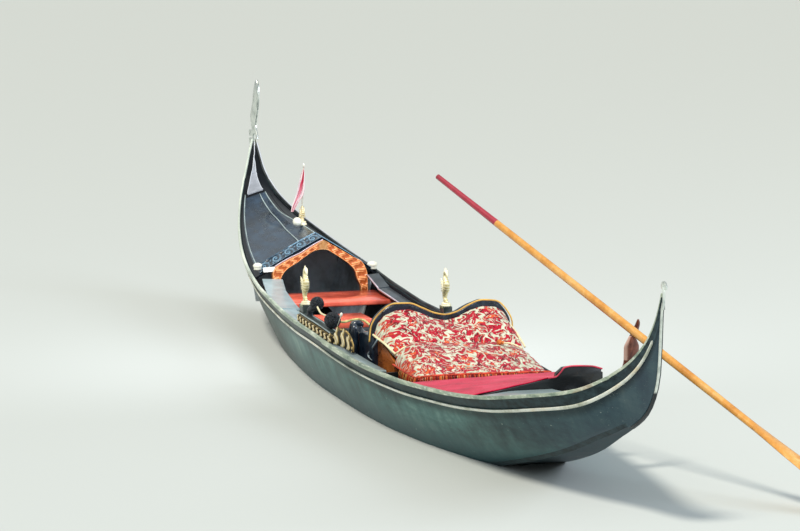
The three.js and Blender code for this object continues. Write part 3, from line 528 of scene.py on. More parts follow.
hole, far = [], []
for x, y in waterline(1) + waterline(-1)[::-1]:
    reach = FLOOR_REACH / math.hypot(x, y * 6)
    hole.append((x, y, WATER))
    far.append((reach * x, reach * y * 6, WATER))
n = len(hole)
floor_finish = Finish("studio_floor",
                      {"Base Color": tint("c9cfcd"), "Roughness": 0.9, "Specular IOR Level": 0.2})
floor_mesh = bpy.data.meshes.new("studio_floor")
floor_mesh.from_pydata(hole + far, [], [(i, (i + 1) % n, n + (i + 1) % n, n + i) for i in range(n)])
floor_mesh.materials.append(floor_finish.material)
floor = bpy.data.objects.new("studio_floor", floor_mesh)
bpy.context.scene.collection.objects.link(floor)

world = bpy.data.worlds.new("studio")
world.use_nodes = True
world.node_tree.nodes["Background"].inputs[0].default_value = tint("e9f0f2")
world.node_tree.nodes["Background"].inputs[1].default_value = LIGHT_FROM_ALL_ROUND
bpy.context.scene.world = world
bpy.context.scene.view_settings.view_transform = "Standard"


def lamp(name, kind, energy, spot, target, colour, **shape):
    data = bpy.data.lights.new(name, kind)
    data.energy = energy
    data.color = tint(colour)[:3]
    for key, value in shape.items():
        setattr(data, key, value)
    obj = bpy.data.objects.new(name, data)
    turn = (Vector(target) - Vector(spot)).to_track_quat("-Z", "Y")
    obj.matrix_world = Matrix.Translation(spot) @ turn.to_matrix().to_4x4()
    obj.visible_camera = False
    bpy.context.scene.collection.objects.link(obj)


lamp("key", "SUN", 2.6, (-4.5, 5.5, 12), (0, 0, 0), "fff6e8", angle=math.radians(12))
lamp("fill", "AREA", 3300, (-17, -17, 13), (0, 0, 0.5), "e8f2ff", shape="RECTANGLE", size=15, size_y=9.5)
lamp("inside", "AREA", 36, (0.5, 0.15, 2.3), (3.1, 0.0, 0.6), "f4f6ff", shape="RECTANGLE", size=1.0,
     size_y=0.8)


# Irons. The comb at the bow and the curl at the stern are forged plates, ground bright. At the
# stern only the curl and the port half of the band are bright: the rest is black with the post.
def iron(name, settings, banded):
    metal = Finish(name, settings)
    place = metal.place()
    patch = metal.grain(place, 14.0, 4.0, 0.6)
    colour = metal.shades(patch, (0.3, "a9b2ad"), (0.5, "e0e6df"), (0.7, "f7fbf4"))
    normal = metal.relief(patch, 0.002, 0.3)
    if not banded:
        return metal.feed(colour, patch * 0.3 + 0.14, normal=normal)
    side, height = metal.part(place, 1), metal.part(place, 2)
    black = (side.rise(-0.001, -0.003) * height.rise(1.54, 1.50)).most(height.rise(1.03, 1.01))
    return metal.feed(metal.blend(black, colour, tint("1d2429")), patch * 0.3 + 0.2, (1 - black) * 0.8,
                      normal=normal)


dress("ferro", iron("bright_iron", {"Metallic": 1.0}, False), 0.003, 40)
dress("stern_iron", iron("banded_iron", {"Specular IOR Level": 0.3}, True), 0.002, 40)

# Foredeck. Straight-gabled boards between the bow and the arch, in gloss blue-black, with a wide
# plank along the crest. Half-round beads run along the crest, the plank's edges and both eaves,
# painted pale to port and black to starboard. To starboard the boards, the plank's half and the
# beads are dull black as painted shade.
DECK_THICK = 0.018
EDGE_BEND = 0.08
PLANK_RUN = (2.830, 4.600)
DECK_ROWS = stations("foredeck")
CREST = [max(z for y, z in p if abs(y) < 0.001) for p in DECK_ROWS.values()]
EDGE = {s: [max(s * y for y, _ in p) for p in DECK_ROWS.values()] for s in (1, -1)}
EAVE = [max(z for y, z in p if y > max(q for q, _ in p) - 0.002) for p in DECK_ROWS.values()]


def deck_half(x, s):
    """Breadth of the deck from its crest to the edge on one side."""
    return fair(list(DECK_ROWS), EDGE[s], [x])[0]


def deck_top(x, y):
    """Height of the deck's boards at x and y."""
    crest, eave = (fair(list(DECK_ROWS), line, [x])[0] for line in (CREST, EAVE))
    f = abs(y) / deck_half(x, 1 if y >= 0 else -1)
    return crest - (crest - eave) * ((1 - EDGE_BEND) * f + EDGE_BEND * f * f)


def read(table, x, column=1):
    """One column of a table of listed places, read fairly at x."""
    return fair([row[0] for row in table], [row[column] for row in table], [x])[0]


def slab(rows, top, high, low):
    """A thin sheet over rows of places, each an x and its ys. Its two faces lie high and low of top."""
    return strung([[(x, y, top(x, y) + high) for y in ys] + [(x, y, top(x, y) + low) for y in ys[::-1]]
                   for x, ys in rows])


def swept(path, radius, sides=8, squash=None):
    """Corners and faces of a round bar along a path, its radius given at each point."""
    path = [Vector(p) for p in path]
    radius = np.broadcast_to(radius, len(path))
    ahead = [(path[min(i + 1, len(path) - 1)] - path[max(i - 1, 0)]).normalized() for i in range(len(path))]
    wing = ahead[0].orthogonal().normalized()
    if squash:
        wing = (Vector(squash[0]) - ahead[0] * Vector(squash[0]).dot(ahead[0])).normalized()
    rings = []
    for spot, way, r in zip(path, ahead, radius):
        wing = (wing - way * wing.dot(way)).normalized()
        up = way.cross(wing)
        flat = squash[1] if squash else 1.0
        turns = [2 * math.pi * k / sides for k in range(sides)]
        rings.append([spot + (wing * math.cos(a) * flat + up * math.sin(a)) * r for a in turns])
    return strung(rings)


def curve_through(points, count):
    """Evenly spaced places on a fair curve through given points."""
    points = np.array(points, float)
    run = np.concatenate([[0], np.cumsum(np.linalg.norm(np.diff(points, axis=0), axis=1))])
    at = np.linspace(0, run[-1], count)
    return np.stack([fair(run, points[:, k], at) for k in range(points.shape[1])], axis=1)


def bar(name, points, radius, finish, slot="ridge", count=0, sides=8):
    """A bead, cord or turned bar along listed points, on a fair curve where count is given."""
    return made(name, swept(curve_through(points, count) if count else points, radius, sides), finish, slot)


def plain(name, colour, rough, coat=0.0, speck=0.15, scale=5.0):
    """Brushed paint with a faint unevenness."""
    paint = Finish(name, {"Coat Roughness": 0.1})
    place = paint.place()
    tone = paint.grain(place, scale, 5.0, 0.65)
    fine = paint.grain(place, 70.0, 2.0)
    dark, light = ([min(1.0, c * (1 + part * 2)) for c in tint(colour)[:3]] + [1.0]
                   for part in (-speck, speck))
    body = paint.blend(tone.rise(0.3, 0.7), dark, light)
    normal = paint.relief(tone + fine * 0.2, 0.002, 0.25)
    return paint.feed(body, fine * 0.12 + rough, coat=tone * 0.1 + coat, normal=normal)


def deck_paint():
    paint = Finish("deck_paint", {"Coat Roughness": 0.05, "Specular IOR Level": 0.32})
    place = paint.place()
    brushed = paint.grain(paint.stretched(place, (0.4, 1.4, 1.0)), 9.0, 5.0, 0.6)
    broad = paint.grain(place, 2.2, 4.0, 0.6)
    colour = paint.shades(broad * 0.6 + brushed * 0.4, (0.36, "141f2b"), (0.50, "23364a"), (0.64, "3a536b"))
    dust = paint.grain(place, 38.0, 3.0).rise(0.64, 0.74)
    colour = paint.blend(dust * 0.25, colour, tint("8fa3b0"))
    return paint.feed(colour, brushed * 0.25 + 0.16, coat=0.22 - dust * 0.1,
                      normal=paint.relief(brushed, 0.003, 0.3))


DECK_PAINT = deck_paint()
BEAD_PAINT = plain("bead_paint", "9fb0b2", 0.3, 0.2)
ACROSS = 16
rows = []
for x in np.linspace(min(DECK_ROWS), max(DECK_ROWS), 150):
    to_port, to_starboard = np.linspace(deck_half(x, 1), 0, ACROSS), np.linspace(0, -deck_half(x, -1), ACROSS)
    rows.append((x, np.concatenate([to_port, to_starboard[1:]])))
deck = made("foredeck_boards", slab(rows, deck_top, 0.0, -DECK_THICK), DECK_PAINT, "deck", "foredeck", 30)
HEAD_X = 4.62
AROUND = 4 * ACROSS - 2
# The starboard slope is dull black as painted shade; the port edge strip and the head are dull black as well.
repaint(deck, lambda face: face.index % AROUND == 0 or ACROSS - 1 <= face.index % AROUND < 2 * ACROSS - 2
        or face.center.x > HEAD_X)

PLANK_HALF = [(2.830, 0.128), (3.300, 0.108), (3.970, 0.062), (4.600, 0.046)]
rows = [(x, np.linspace(read(PLANK_HALF, x), -read(PLANK_HALF, x), 9)) for x in np.linspace(*PLANK_RUN, 90)]
plank = slab(rows, deck_top, 0.0096, 0.0040)
crest_plank = made("crest_plank", plank, DECK_PAINT, "deck", "foredeck_ridge", 30)
# The starboard half of the crest plank is dull black: painted shade.
repaint(crest_plank, lambda face: 4 <= face.index % 18 < 9)

plank_edge = [(x, read(PLANK_HALF, x)) for x in np.linspace(*PLANK_RUN, 60)]
deck_edge = {s: [(x, deck_half(x, s) * 0.93 - 0.010) for x in np.linspace(2.83, 4.66, 60)] for s in (1, -1)}
# The beads to starboard are dull black: painted shade.
for name, line, s, rise in (("crest_bead", [(x, 0.0) for x, _ in plank_edge], 1, 0.0105),
                            ("plank_bead_port", plank_edge, 1, 0.0085),
                            ("plank_bead_starboard", plank_edge, -1, 0.0085),
                            ("edge_bead_port", deck_edge[1], 1, 0.003),
                            ("edge_bead_starboard", deck_edge[-1], -1, 0.003)):
    bar(name, [(x, s * y, deck_top(x, s * y) + rise) for x, y in line], 0.0048,
        BLACK_AND_PAINTED_SHADE if s < 0 else BEAD_PAINT)

# Bow plate. A pale sheet tapers from the deck's fore end up the top of the stem, with a bead on
# both edges that meet in one line below the comb.
BOW_PLATE = [(4.645, 0.140, 0.010), (4.675, 0.133, 0.016), (4.740, 0.106, 0.022), (4.800, 0.079, 0.027),
             (4.826, 0.066, 0.025)]
STEM_PLATE = [(4.830, 0.064, 0.025), (4.870, 0.046, 0.020), (4.910, 0.030, 0.017), (4.935, 0.021, 0.019)]
STEM_TOP = [(4.826, 1.306), (4.870, 1.335), (4.910, 1.391), (4.940, 1.438), (4.970, 1.486), (4.995, 1.527),
            (5.020, 1.568)]
BEAD_TIP = [(4.950, 0.012), (4.980, 0.004), (5.012, -0.002)]
PLATE_GREY = plain("plate_grey", "a3a9b4", 0.3, 0.1)
EDGE_LIGHT = plain("edge_light", "c6ccd6", 0.25, 0.2, 0.05)


def plate_top(x, y):
    return deck_top(x, y) + 0.012 if x <= STEM_TOP[0][0] else read(STEM_TOP, x) + 0.008


for name, outline, node in (("bow_plate_sheet", BOW_PLATE, "bow_plate"), ("stem_plate", STEM_PLATE, None)):
    rows = [(x, np.linspace(port, star, 9)) for x, port, star in outline]
    made(name, slab(rows, plate_top, 0.0, -0.008), PLATE_GREY, "board", node, 30)
for name, edge, tip in (("plate_bead_port", 1, []), ("plate_bead_starboard", 2, BEAD_TIP)):
    line = [(row[0], row[edge]) for row in BOW_PLATE + STEM_PLATE] + tip
    bar(name, [(x, y, plate_top(x, y) + 0.001) for x, y in line], 0.0042, EDGE_LIGHT, count=40)
# A thin pale line along the starboard cap's outer edge towards the bow, growing thicker aft.
pale_edge_line = [(x, -y, z) for x, y, z in zip(*CAP_LINE[-1]) if 2.75 < x < 5.0]
stout = np.interp([p[0] for p in pale_edge_line], [2.75, 3.4], [0.002, 0.0055])
bar("cap_edge_starboard", pale_edge_line, stout, EDGE_LIGHT, "worn")

# Carved moulding. A flat board along the foredeck's rear edge, cut with scrolls of leaves from
# each eave up to the crest and painted blue-black, between two light rims.
MOULDING_X = (2.576, 2.812)
MOULDING_INSET = 0.034


def scrollwork(u, v):
    """Height of carved leaf scrolls, 0 to 1. u counts scrolls along, v runs 0 to 1 across."""
    spin = 1.0 if math.floor(u) % 2 else -1.0
    dx = (u - math.floor(u) - 0.5) * 1.25
    dy = (v - 0.5 - 0.06 * spin) * spin
    r = math.hypot(dx, dy) + 1e-4
    a = math.atan2(dy, dx)
    coil = (0.5 + 0.5 * math.cos(a + math.log(r) * 4.6)) * min(1.0, max(0.0, 1.25 - r * 1.3))
    leaf = (0.5 + 0.5 * math.cos(a * 7 + r * 9.0 * spin)) * max(0.0, 1 - abs(r - 0.5) / 0.22)
    return max(coil, leaf * 0.85) * min(1.0, min(v, 1 - v) / 0.10)


def leafwork(u, v):
    """Height of bold slanting leaves, 0 to 1, one to each step of u."""
    ridge = 0.5 + 0.5 * math.cos(2 * math.pi * (u + 0.45 * v + 0.20 * math.sin(2 * math.pi * v)))
    lobes = 0.75 + 0.25 * math.cos(2 * math.pi * (3 * u - 2.2 * v))
    return max(0.0, min(1.0, 1.7 * ridge * lobes - 0.30)) * min(1.0, min(v, 1 - v) / 0.08)


def carved_finish(name, low, mid, high, rough, coat, metal=0.0, crown=None):
    """Paint, varnish or leaf on carving, with painted shade in the hollows and painted highlight on the
    ridges.
    """
    carved = Finish(name, {"Coat Roughness": 0.12, "Metallic": metal})
    height = carved.part(carved.cloth(), 0)
    fine = carved.grain(carved.place(), 60.0, 4.0, 0.6)
    # Colour follows the carved height: painted shade low down, painted highlight high up.
    colour = carved.shades(height + (fine - 0.5) * 0.5, (0.05, low), (0.42, mid), (0.88, high))
    if crown:
        colour = carved.blend(carved.part(carved.cloth(), 1) * 0.8, colour, tint(crown))
    return carved.feed(colour, fine * 0.2 + rough, coat=coat - height * 0.1,
                       normal=carved.relief(fine, 0.002, 0.4))


def woven(rows, columns):
    """Faces of a sheet whose corners run row by row."""
    return [(a, a + 1, a + columns + 1, a + columns)
            for i in range(rows - 1) for a in range(i * columns, (i + 1) * columns - 1)]


def thickened(obj, thick):
    """The sheet gets its thickness below its drawn face."""
    solid = obj.modifiers.new("thick", "SOLIDIFY")
    solid.thickness = thick
    solid.offset = -1


CARVED_PAINT = carved_finish("carved_paint", "0b1826", "1d3a50", "7fa9c4", 0.25, 0.3)
COUNT, ROWS = 520, 30
corners, uv = [], []
for share in np.linspace(1, -1, COUNT):
    for v in np.linspace(0, 1, ROWS):
        x = MOULDING_X[0] + (MOULDING_X[1] - MOULDING_X[0]) * v
        y = share * (deck_half(x, 1 if share > 0 else -1) - MOULDING_INSET)
        h = scrollwork(abs(share) * (5.0 if share > 0 else 4.0), v)
        rim = 1.0 if min(v, 1 - v) < 0.045 else 0.0
        corners.append((x, y, deck_top(x, y) + 0.004 + 0.012 * max(h, rim)))
        uv.append((max(h * 0.95, rim * (0.95 if share < 0.45 and v > 0.5 else 0.5)), v))
moulding = made("carved_moulding", (corners, woven(COUNT, ROWS)), CARVED_PAINT, "carved",
                "foredeck_moulding", 50, uv)
thickened(moulding, 0.004)

# Knobs on the moulding's two ends, turned and painted cream, and a blank white plate beside the
# port one.
KNOB = [(0.000, 0.020), (0.006, 0.026), (0.014, 0.022), (0.022, 0.026), (0.034, 0.030), (0.046, 0.024),
        (0.054, 0.010)]
KNOB_CREAM = plain("knob_cream", "f1edd6", 0.4, 0.1)
for name, spot, size in (("knob_port", (2.62, 0.506, 0.772), 1.25),
                         ("knob_starboard", (2.62, -0.418, 0.740), 1.45)):
    path = [Vector(spot) + Vector((0, 0, h * size * 0.8)) for h, _ in KNOB]
    bar(name, path, [r * size for _, r in KNOB], KNOB_CREAM, "board", sides=20)
tag = [(2.532, 0.385, 0.765), (2.532, 0.477, 0.762), (2.556, 0.477, 0.796), (2.556, 0.385, 0.799)]
back = [(x + 0.006, y, z - 0.003) for x, y, z in tag]
made("blank_plate", strung([tag, back]), plain("tag_white", "eef3f0", 0.35, 0.1), "board", smooth=False)

# Arch. A thick board under the deck's edge, sawn to a pointed opening, carved with leaves round
# a shell at its crown, and varnished orange.
ARCH_OUTER = [(0.408, 0.560), (0.408, 0.740), (0.384, 0.792), (0.339, 0.819), (0.257, 0.860), (0.174, 0.895),
              (0.110, 0.932), (0.043, 0.968), (-0.008, 0.992), (-0.060, 0.964), (-0.154, 0.908),
              (-0.236, 0.858), (-0.301, 0.822), (-0.330, 0.779), (-0.349, 0.714), (-0.352, 0.540)]
ARCH_INNER = [(0.352, 0.560), (0.347, 0.699), (0.322, 0.754), (0.281, 0.792), (0.215, 0.830), (0.149, 0.875),
              (0.067, 0.920), (0.020, 0.926), (-0.024, 0.922), (-0.081, 0.890), (-0.146, 0.847),
              (-0.211, 0.796), (-0.251, 0.746), (-0.267, 0.689), (-0.299, 0.607), (-0.304, 0.540)]
ARCH_FACE, ARCH_BACK = 2.508, 2.5696
ARCH_DEPTH = 0.011
LEAVES_A_SIDE = 9
CROWN_Y, CROWN_Z, CROWN_HALF = 0.003, 0.900, 0.052
COUNT, ROWS = 420, 22
ORANGE_CARVED = carved_finish("orange_carved", "94481a", "c4672a", "eba466", 0.3, 0.25, crown="a5824e")
rings, uv = [], []
for i, (outer, inner) in enumerate(zip(curve_through(ARCH_OUTER, COUNT), curve_through(ARCH_INNER, COUNT))):
    ring = []
    for v in np.linspace(0, 1, ROWS):
        y, z = inner + (outer - inner) * v
        h = 0.25 + 0.75 * leafwork(abs(2 * i / (COUNT - 1) - 1) * LEAVES_A_SIDE, v)
        crown = max(0.0, 1 - abs(y - CROWN_Y) / CROWN_HALF)
        if crown > 0:
            ray = math.atan2(y - CROWN_Y, z - CROWN_Z)
            h = max(h * (1 - crown), min(1.0, crown * 1.6) * (0.70 + 0.20 * math.cos(ray * 12)))
        rim = 1.0 if v > 0.93 or v < 0.05 else 0.0
        ring.append((ARCH_FACE + 0.008 - ARCH_DEPTH * max(h, rim * 0.8), y, z))
        uv.append((max(h, rim * 1.1), min(1.0, crown * 2.0)))
    rings.append(ring + [(ARCH_BACK, *outer), (ARCH_BACK, *inner)])
    uv += [(0.3, 0), (0.1, 0)]
made("carved_arch", strung(rings), ORANGE_CARVED, "orange", "arch_frame", 50, uv)
RIM_LIGHT = plain("rim_light", "bcb2bd", 0.3, 0.2, 0.1)
bar("arch_rim_bead", [(2.566, y, z + 0.005) for y, z in curve_through(ARCH_OUTER[2:9], 60)], 0.0045,
    RIM_LIGHT)

# Cuddy under the foredeck. Thin grey-painted boards line its two sides, a bulkhead closes its fore
# end, and a darker ceiling lies under the deck.
LINING = plain("lining_paint", "b9c3c9", 0.5, 0.1, 0.3, 2.4)
BULKHEAD_X = 3.38
BULKHEAD_FOOT = 0.42
CUDDY_X = np.linspace(2.62, BULKHEAD_X, 14)
for s, side in SIDES:
    rings = []
    for x in CUDDY_X:
        ys, zs = section(s, x)
        face = [(fair(zs, ys, [z])[0] - s * (PLANK + 0.006), z)
                for z in np.linspace(zs[0] + 0.12, zs[5] - 0.06, 8)]
        rings.append([(x, y, z) for y, z in face] + [(x, y - s * 0.012, z) for y, z in face[::-1]])
    made("lining_" + side, strung(rings), LINING, "board", crease=40)
PORT_FOOT, STAR_FOOT = (section(s, BULKHEAD_X)[0][3] * share for s, share in ((1, 0.93), (-1, 0.9)))
tops = [(y, deck_top(BULKHEAD_X, y) - 0.05)
        for y in (deck_half(BULKHEAD_X, 1) - 0.03, 0.0, 0.03 - deck_half(BULKHEAD_X, -1))]
outline = [(PORT_FOOT, BULKHEAD_FOOT), *tops, (STAR_FOOT, BULKHEAD_FOOT)]
rings = [[(x, y, z) for y, z in outline] for x in (BULKHEAD_X, BULKHEAD_X + 0.015)]
made("cuddy_bulkhead", strung(rings), LINING, "board", smooth=False)
rows = [(x, np.linspace(deck_half(x, 1) - 0.045, 0.045 - deck_half(x, -1), 13)) for x in CUDDY_X]
CEILING = plain("ceiling_paint", "6f7a84", 0.5, 0.1, 0.3, 2.4)
made("cuddy_ceiling", slab(rows, deck_top, -DECK_THICK - 0.004, -DECK_THICK - 0.012), CEILING, "board",
     crease=40)

# Benches. The cross bench behind the arch and the low stool are covered in glossy red cloth. Dark
# floorboards lie under them, on the frames.
def wood(name, dark, mid, light, along, rough, coat):
    """Planed wood under oil or varnish: grain runs where the stretch is least."""
    board = Finish(name, {"Coat Roughness": 0.12})
    place = board.stretched(board.place(), along)
    ring = board.grain(place, 9.0, 6.0, 0.6, 0.8)
    fine = board.grain(place, 46.0, 3.0, 0.5, 0.4)
    colour = board.shades(ring * 0.7 + fine * 0.3, (0.3, dark), (0.5, mid), (0.7, light))
    return board.feed(colour, fine * 0.2 + (rough - 0.1), coat=fine * 0.05 + coat,
                      normal=board.relief(fine, 0.001, 0.4))


def floor_wood():
    board = Finish("floor_wood", {})
    place = board.place()
    seam = abs((board.part(place, 1) + 5.0) % 0.115 - 0.0575).rise(0.0545, 0.0565)
    ring = board.grain(board.stretched(place, (0.25, 1.4, 1.0)), 12.0, 5.0, 0.6, 0.6)
    colour = board.shades(ring, (0.3, "211f1c"), (0.5, "35322d"), (0.7, "4d483f"))
    colour = board.blend(seam, colour, tint("080808"))
    return board.feed(colour, ring * 0.2 + 0.5, normal=board.relief(ring * 0.2 - seam, 0.004, 0.6))


# The strong light and dark patches on the red are uneven paint and painted highlight.
RED_GLOSS_PAINTED_SHEEN = plain("red_gloss_painted_sheen", "f2604a", 0.24, 0.6, 0.30, 3.0)
BLACK_PAINT = plain("black_paint", "12181b", 0.3, 0.25, 0.2)
dress("bench_fore", RED_GLOSS_PAINTED_SHEEN, 0.012, 30)
dress("stool_seat", RED_GLOSS_PAINTED_SHEEN, 0.012, 30)
dress("stool_frame", wood("dark_board", "1c1f21", "2e3335", "444b4e", (0.2, 1, 1), 0.45, 0.15), 0.003)
dress("floorboards", floor_wood(), 0)
dress("frame_aft", BLACK_PAINT)
dress("frame_fore", BLACK_PAINT)

# Side boards. A painted shelf runs along the inside of each sheer, over the seats' ends, and
# rises to the foredeck at its fore end.
BOARD_PAINT = plain("board_paint", "93a7ab", 0.3, 0.3, 0.12)
# The starboard board is painted dark where the port one is light grey-blue: painted shade.
PAINTED_SHADE_BOARD = plain("painted_shade_board", "3a4248", 0.3, 0.2, 0.2)
dress("side_board_port", BOARD_PAINT, 0.003)
dress("side_board_starboard", PAINTED_SHADE_BOARD, 0.003)
lip = []
for x, p in stations("side_board_starboard").items():
    edge = max(y for y, _ in p)
    lip.append((x, edge + 0.002, max(z for y, z in p if y > edge - 0.002)))
bar("shelf_bead_starboard", lip, 0.0065, RIM_LIGHT, count=60)
PORT_END = [(1.300, 0.628, 0.649, 0.150), (1.600, 0.601, 0.649, 0.156), (1.900, 0.577, 0.655, 0.167),
            (2.205, 0.534, 0.664, 0.158), (2.300, 0.522, 0.678, 0.160), (2.400, 0.510, 0.696, 0.162),
            (2.500, 0.497, 0.716, 0.162)]
STAR_END = [(2.205, -0.358, 0.644), (2.300, -0.356, 0.662), (2.400, -0.352, 0.686), (2.500, -0.346, 0.712)]
rings = [[(x, y, z), (x, y - w, z - 0.010), (x, y - w, z - 0.024), (x, y, z - 0.016)]
         for x, y, z, w in PORT_END]
made("side_board_fore_end", strung(rings), BOARD_PAINT, "board", crease=30)
# The starboard fore end is painted dark too: painted shade.
rings = [[(x, y, z), (x, y - 0.090, z + 0.010), (x, y - 0.090, z - 0.006), (x, y, z - 0.014)]
         for x, y, z in STAR_END]
made("side_board_fore_end_starboard", strung(rings), PAINTED_SHADE_BOARD, "board", crease=30)
bar("end_bead_starboard", [(x, y + 0.001, z + 0.001) for x, y, z in STAR_END], 0.0065, RIM_LIGHT)

# Sofa. A wooden frame upholstered in blue-black leather: two arms that end in fat rolls, and a
# heart-shaped back whose padded rim is edged with an amber cord.
def leather(name, polish):
    hide = Finish(name, {"Coat Roughness": 0.10, "Specular IOR Level": 0.5})
    place = hide.place()
    crease = hide.grain(place, 13.0, 4.0, 0.6, 0.6)
    pore = hide.cells(place, 130.0)
    colour = hide.shades(crease, (0.32, "0f1722"), (0.52, "1b2a3b"), (0.70, "33485d"))
    normal = hide.relief(crease + pore * 0.1, 0.006, 0.4)
    return hide.feed(colour, crease * 0.2 + 0.2, coat=crease * 0.1 + polish, normal=normal)


def upholster(node, name, finish, voxel, passes, wrinkle, crumple=0.12):
    """A packed cushion or pad: one skin, its corners worn round, with wrinkles."""
    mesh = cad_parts[node].data.copy()
    mesh.name = name
    mesh.materials.clear()
    mesh.materials.append(finish)
    obj = bpy.data.objects.new(name, mesh)
    bpy.context.scene.collection.objects.link(obj)
    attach(obj, "boat")
    weld = obj.modifiers.new("weld", "WELD")
    weld.merge_threshold = 0.0001
    skin = obj.modifiers.new("skin", "REMESH")
    skin.mode = "VOXEL"
    skin.voxel_size = voxel
    skin.use_smooth_shade = True
    soft = obj.modifiers.new("soft", "SMOOTH")
    soft.factor = 0.5
    soft.iterations = passes
    folds = bpy.data.textures.new(name + "_folds", "CLOUDS")
    folds.noise_scale = crumple
    folds.noise_depth = 2
    rumple = obj.modifiers.new("rumple", "DISPLACE")
    rumple.texture = folds
    rumple.texture_coords = "LOCAL"
    rumple.strength = wrinkle
    rumple.mid_level = 0.5
    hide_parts(node)


LEATHER = leather("blue_black_leather", 0.80)
DULL_LEATHER = leather("rubbed_leather", 0.12)
for node, name, hide, voxel in (("sofa_arm_port", "arm_roll_port", LEATHER, 0.008),
                                ("sofa_arm_starboard", "arm_roll_starboard", LEATHER, 0.008),
                                ("sofa_base", "sofa_seat_box", LEATHER, 0.012),
                                ("sofa_back", "heart_back", DULL_LEATHER, 0.008)):
    upholster(node, name, hide, voxel, 10, 0.006)
ARM_ROLL = [(-0.560, 0.522, 0.500), (-0.566, 0.524, 0.600), (-0.572, 0.526, 0.690), (-0.572, 0.526, 0.740),
            (-0.566, 0.524, 0.768), (-0.560, 0.523, 0.782)]
ROLL_END = [0.027, 0.026, 0.024, 0.020, 0.014, 0.005]
bar("arm_roll_end_port", ARM_ROLL, [0.028] * 24 + ROLL_END, LEATHER, "leather", 30, 24)

LOBE_RIM = [(0.508, 0.715), (0.497, 0.812), (0.437, 0.898), (0.350, 0.946), (0.260, 0.944), (0.170, 0.909),
            (0.080, 0.870), (0.000, 0.855), (-0.080, 0.870), (-0.170, 0.915), (-0.260, 0.944),
            (-0.350, 0.936), (-0.405, 0.890), (-0.448, 0.800), (-0.450, 0.700)]
RIM_X, CORD_X, CORD_INSET = -0.968, -1.018, 0.026
rim_line = curve_through(LOBE_RIM, 120)
rim = swept([(RIM_X, y, z) for y, z in rim_line], 0.024, 14, ((1, 0, 0), 1.5))
made("back_rim", rim, DULL_LEATHER, "leather")
cord_line = []
for (y, z), along in zip(rim_line, np.gradient(rim_line, axis=0)):
    dy, dz = along / np.linalg.norm(along) * CORD_INSET
    cord_line.append((CORD_X, y + dz, z - dy))
bar("back_cord", cord_line, 0.0055, plain("amber_cord", "e6b45a", 0.6, 0.0, 0.2), "damask")

# Cheeks of the sofa. Two shaped boards close its sides under the damask cover. They are varnished
# orange-brown, and the port one has a bright bead along its edge.
ORANGE_WOOD = wood("orange_wood", "8f4a1c", "bd6a2c", "d98b48", (0.5, 0.3, 2.0), 0.3, 0.4)
CHEEK_BEAD = [(-1.143, 0.509, 0.750), (-1.035, 0.509, 0.691), (-0.940, 0.511, 0.640), (-0.890, 0.512, 0.612),
              (-0.905, 0.512, 0.600), (-1.004, 0.510, 0.590)]
dress("sofa_cheek_port", ORANGE_WOOD, 0.003)
dress("sofa_cheek_starboard", ORANGE_WOOD, 0.003)
bar("cheek_bead", CHEEK_BEAD, 0.006, plain("grey_bead", "a9bcc6", 0.25, 0.4, 0.1), "board", 24)

# Damask covers. Cream silk woven with crimson leaves and orange sparks: one cover slopes aft from
# the sofa's back, the padded lid behind it ends in a fringe, and a cushion lies on the seat.
def damask():
    silk = Finish("damask", {"Sheen Weight": 0.1, "Sheen Roughness": 0.4, "Specular IOR Level": 0.25})
    place = silk.place()
    x, y, z = (silk.part(place, k) for k in range(3))
    slope = x * -0.88 - z * 0.47
    sway = silk.grain(silk.joined(y, slope), 5.0, 2.0) - 0.5
    lift = silk.grain(silk.joined(slope, y, 3.7), 5.0, 2.0) - 0.5
    across = (y + sway * 0.09) / 0.27
    column = across.floor()
    down = (slope + lift * 0.09) / 0.30 + column % 2.0 * 0.5
    a = across - column - 0.5
    b = down - down.floor() - 0.5
    turn = b.bearing(a)
    reach = (a * a + b * b).root()
    petal = reach + (turn * 8.0 + reach * 12.0).sine() * 0.045
    flower = petal.rise(0.27, 0.24)
    halo = petal.rise(0.25, 0.28) * petal.rise(0.37, 0.33)
    bent = silk.joined(y + sway * 0.22, slope + lift * 0.22)
    leaf = silk.grain(silk.stretched(bent, (1.0, 0.6, 1.0)), 19.0, 2.5, 0.6, 1.8)
    cut = silk.grain(silk.stretched(bent, (1.0, 0.42, 1.0)), 56.0, 2.0, 0.55, 1.2)
    rays = (turn * 14.0 + reach * 26.0).sine().rise(0.1, 0.6) * flower
    red = leaf.rise(0.40, 0.45).most(flower) * (1 - halo * 0.9) - cut.rise(0.545, 0.61) * 0.8 - rays * 0.5
    red = red.rise(0.15, 0.5)
    deep = silk.grain(bent, 30.0, 2.0, 0.5, 1.2).rise(0.47, 0.41)
    crimson = silk.blend(deep, tint("b8122f"), tint("6a0a18"))
    glow = silk.grain(place, 8.0, 3.0).rise(0.54, 0.64).most(y.rise(0.36, 0.50) * 0.8)
    crimson = silk.blend(glow * silk.grain(bent, 40.0, 2.0).rise(0.44, 0.54), crimson, tint("e2622c"))
    ground = silk.shades(silk.grain(place, 30.0, 3.0), (0.35, "b9c0a8"), (0.6, "dcdfc9"))
    weave = silk.grain(silk.stretched(place, (1.0, 3.0, 1.0)), 220.0, 1.0)
    normal = silk.relief(red * 0.5 + weave * 0.3, 0.0016, 0.5)
    return silk.feed(silk.blend(red, ground, crimson), 0.6 - red * 0.15, normal=normal)


DAMASK = damask()
for node, name, voxel, passes, wrinkle in (("sofa_cover", "back_cover", 0.008, 8, 0.010),
                                           ("low_cover", "padded_lid", 0.010, 14, 0.022),
                                           ("sofa_cushion", "seat_cushion", 0.010, 12, 0.012)):
    upholster(node, name, DAMASK, voxel, passes, wrinkle, 0.16)

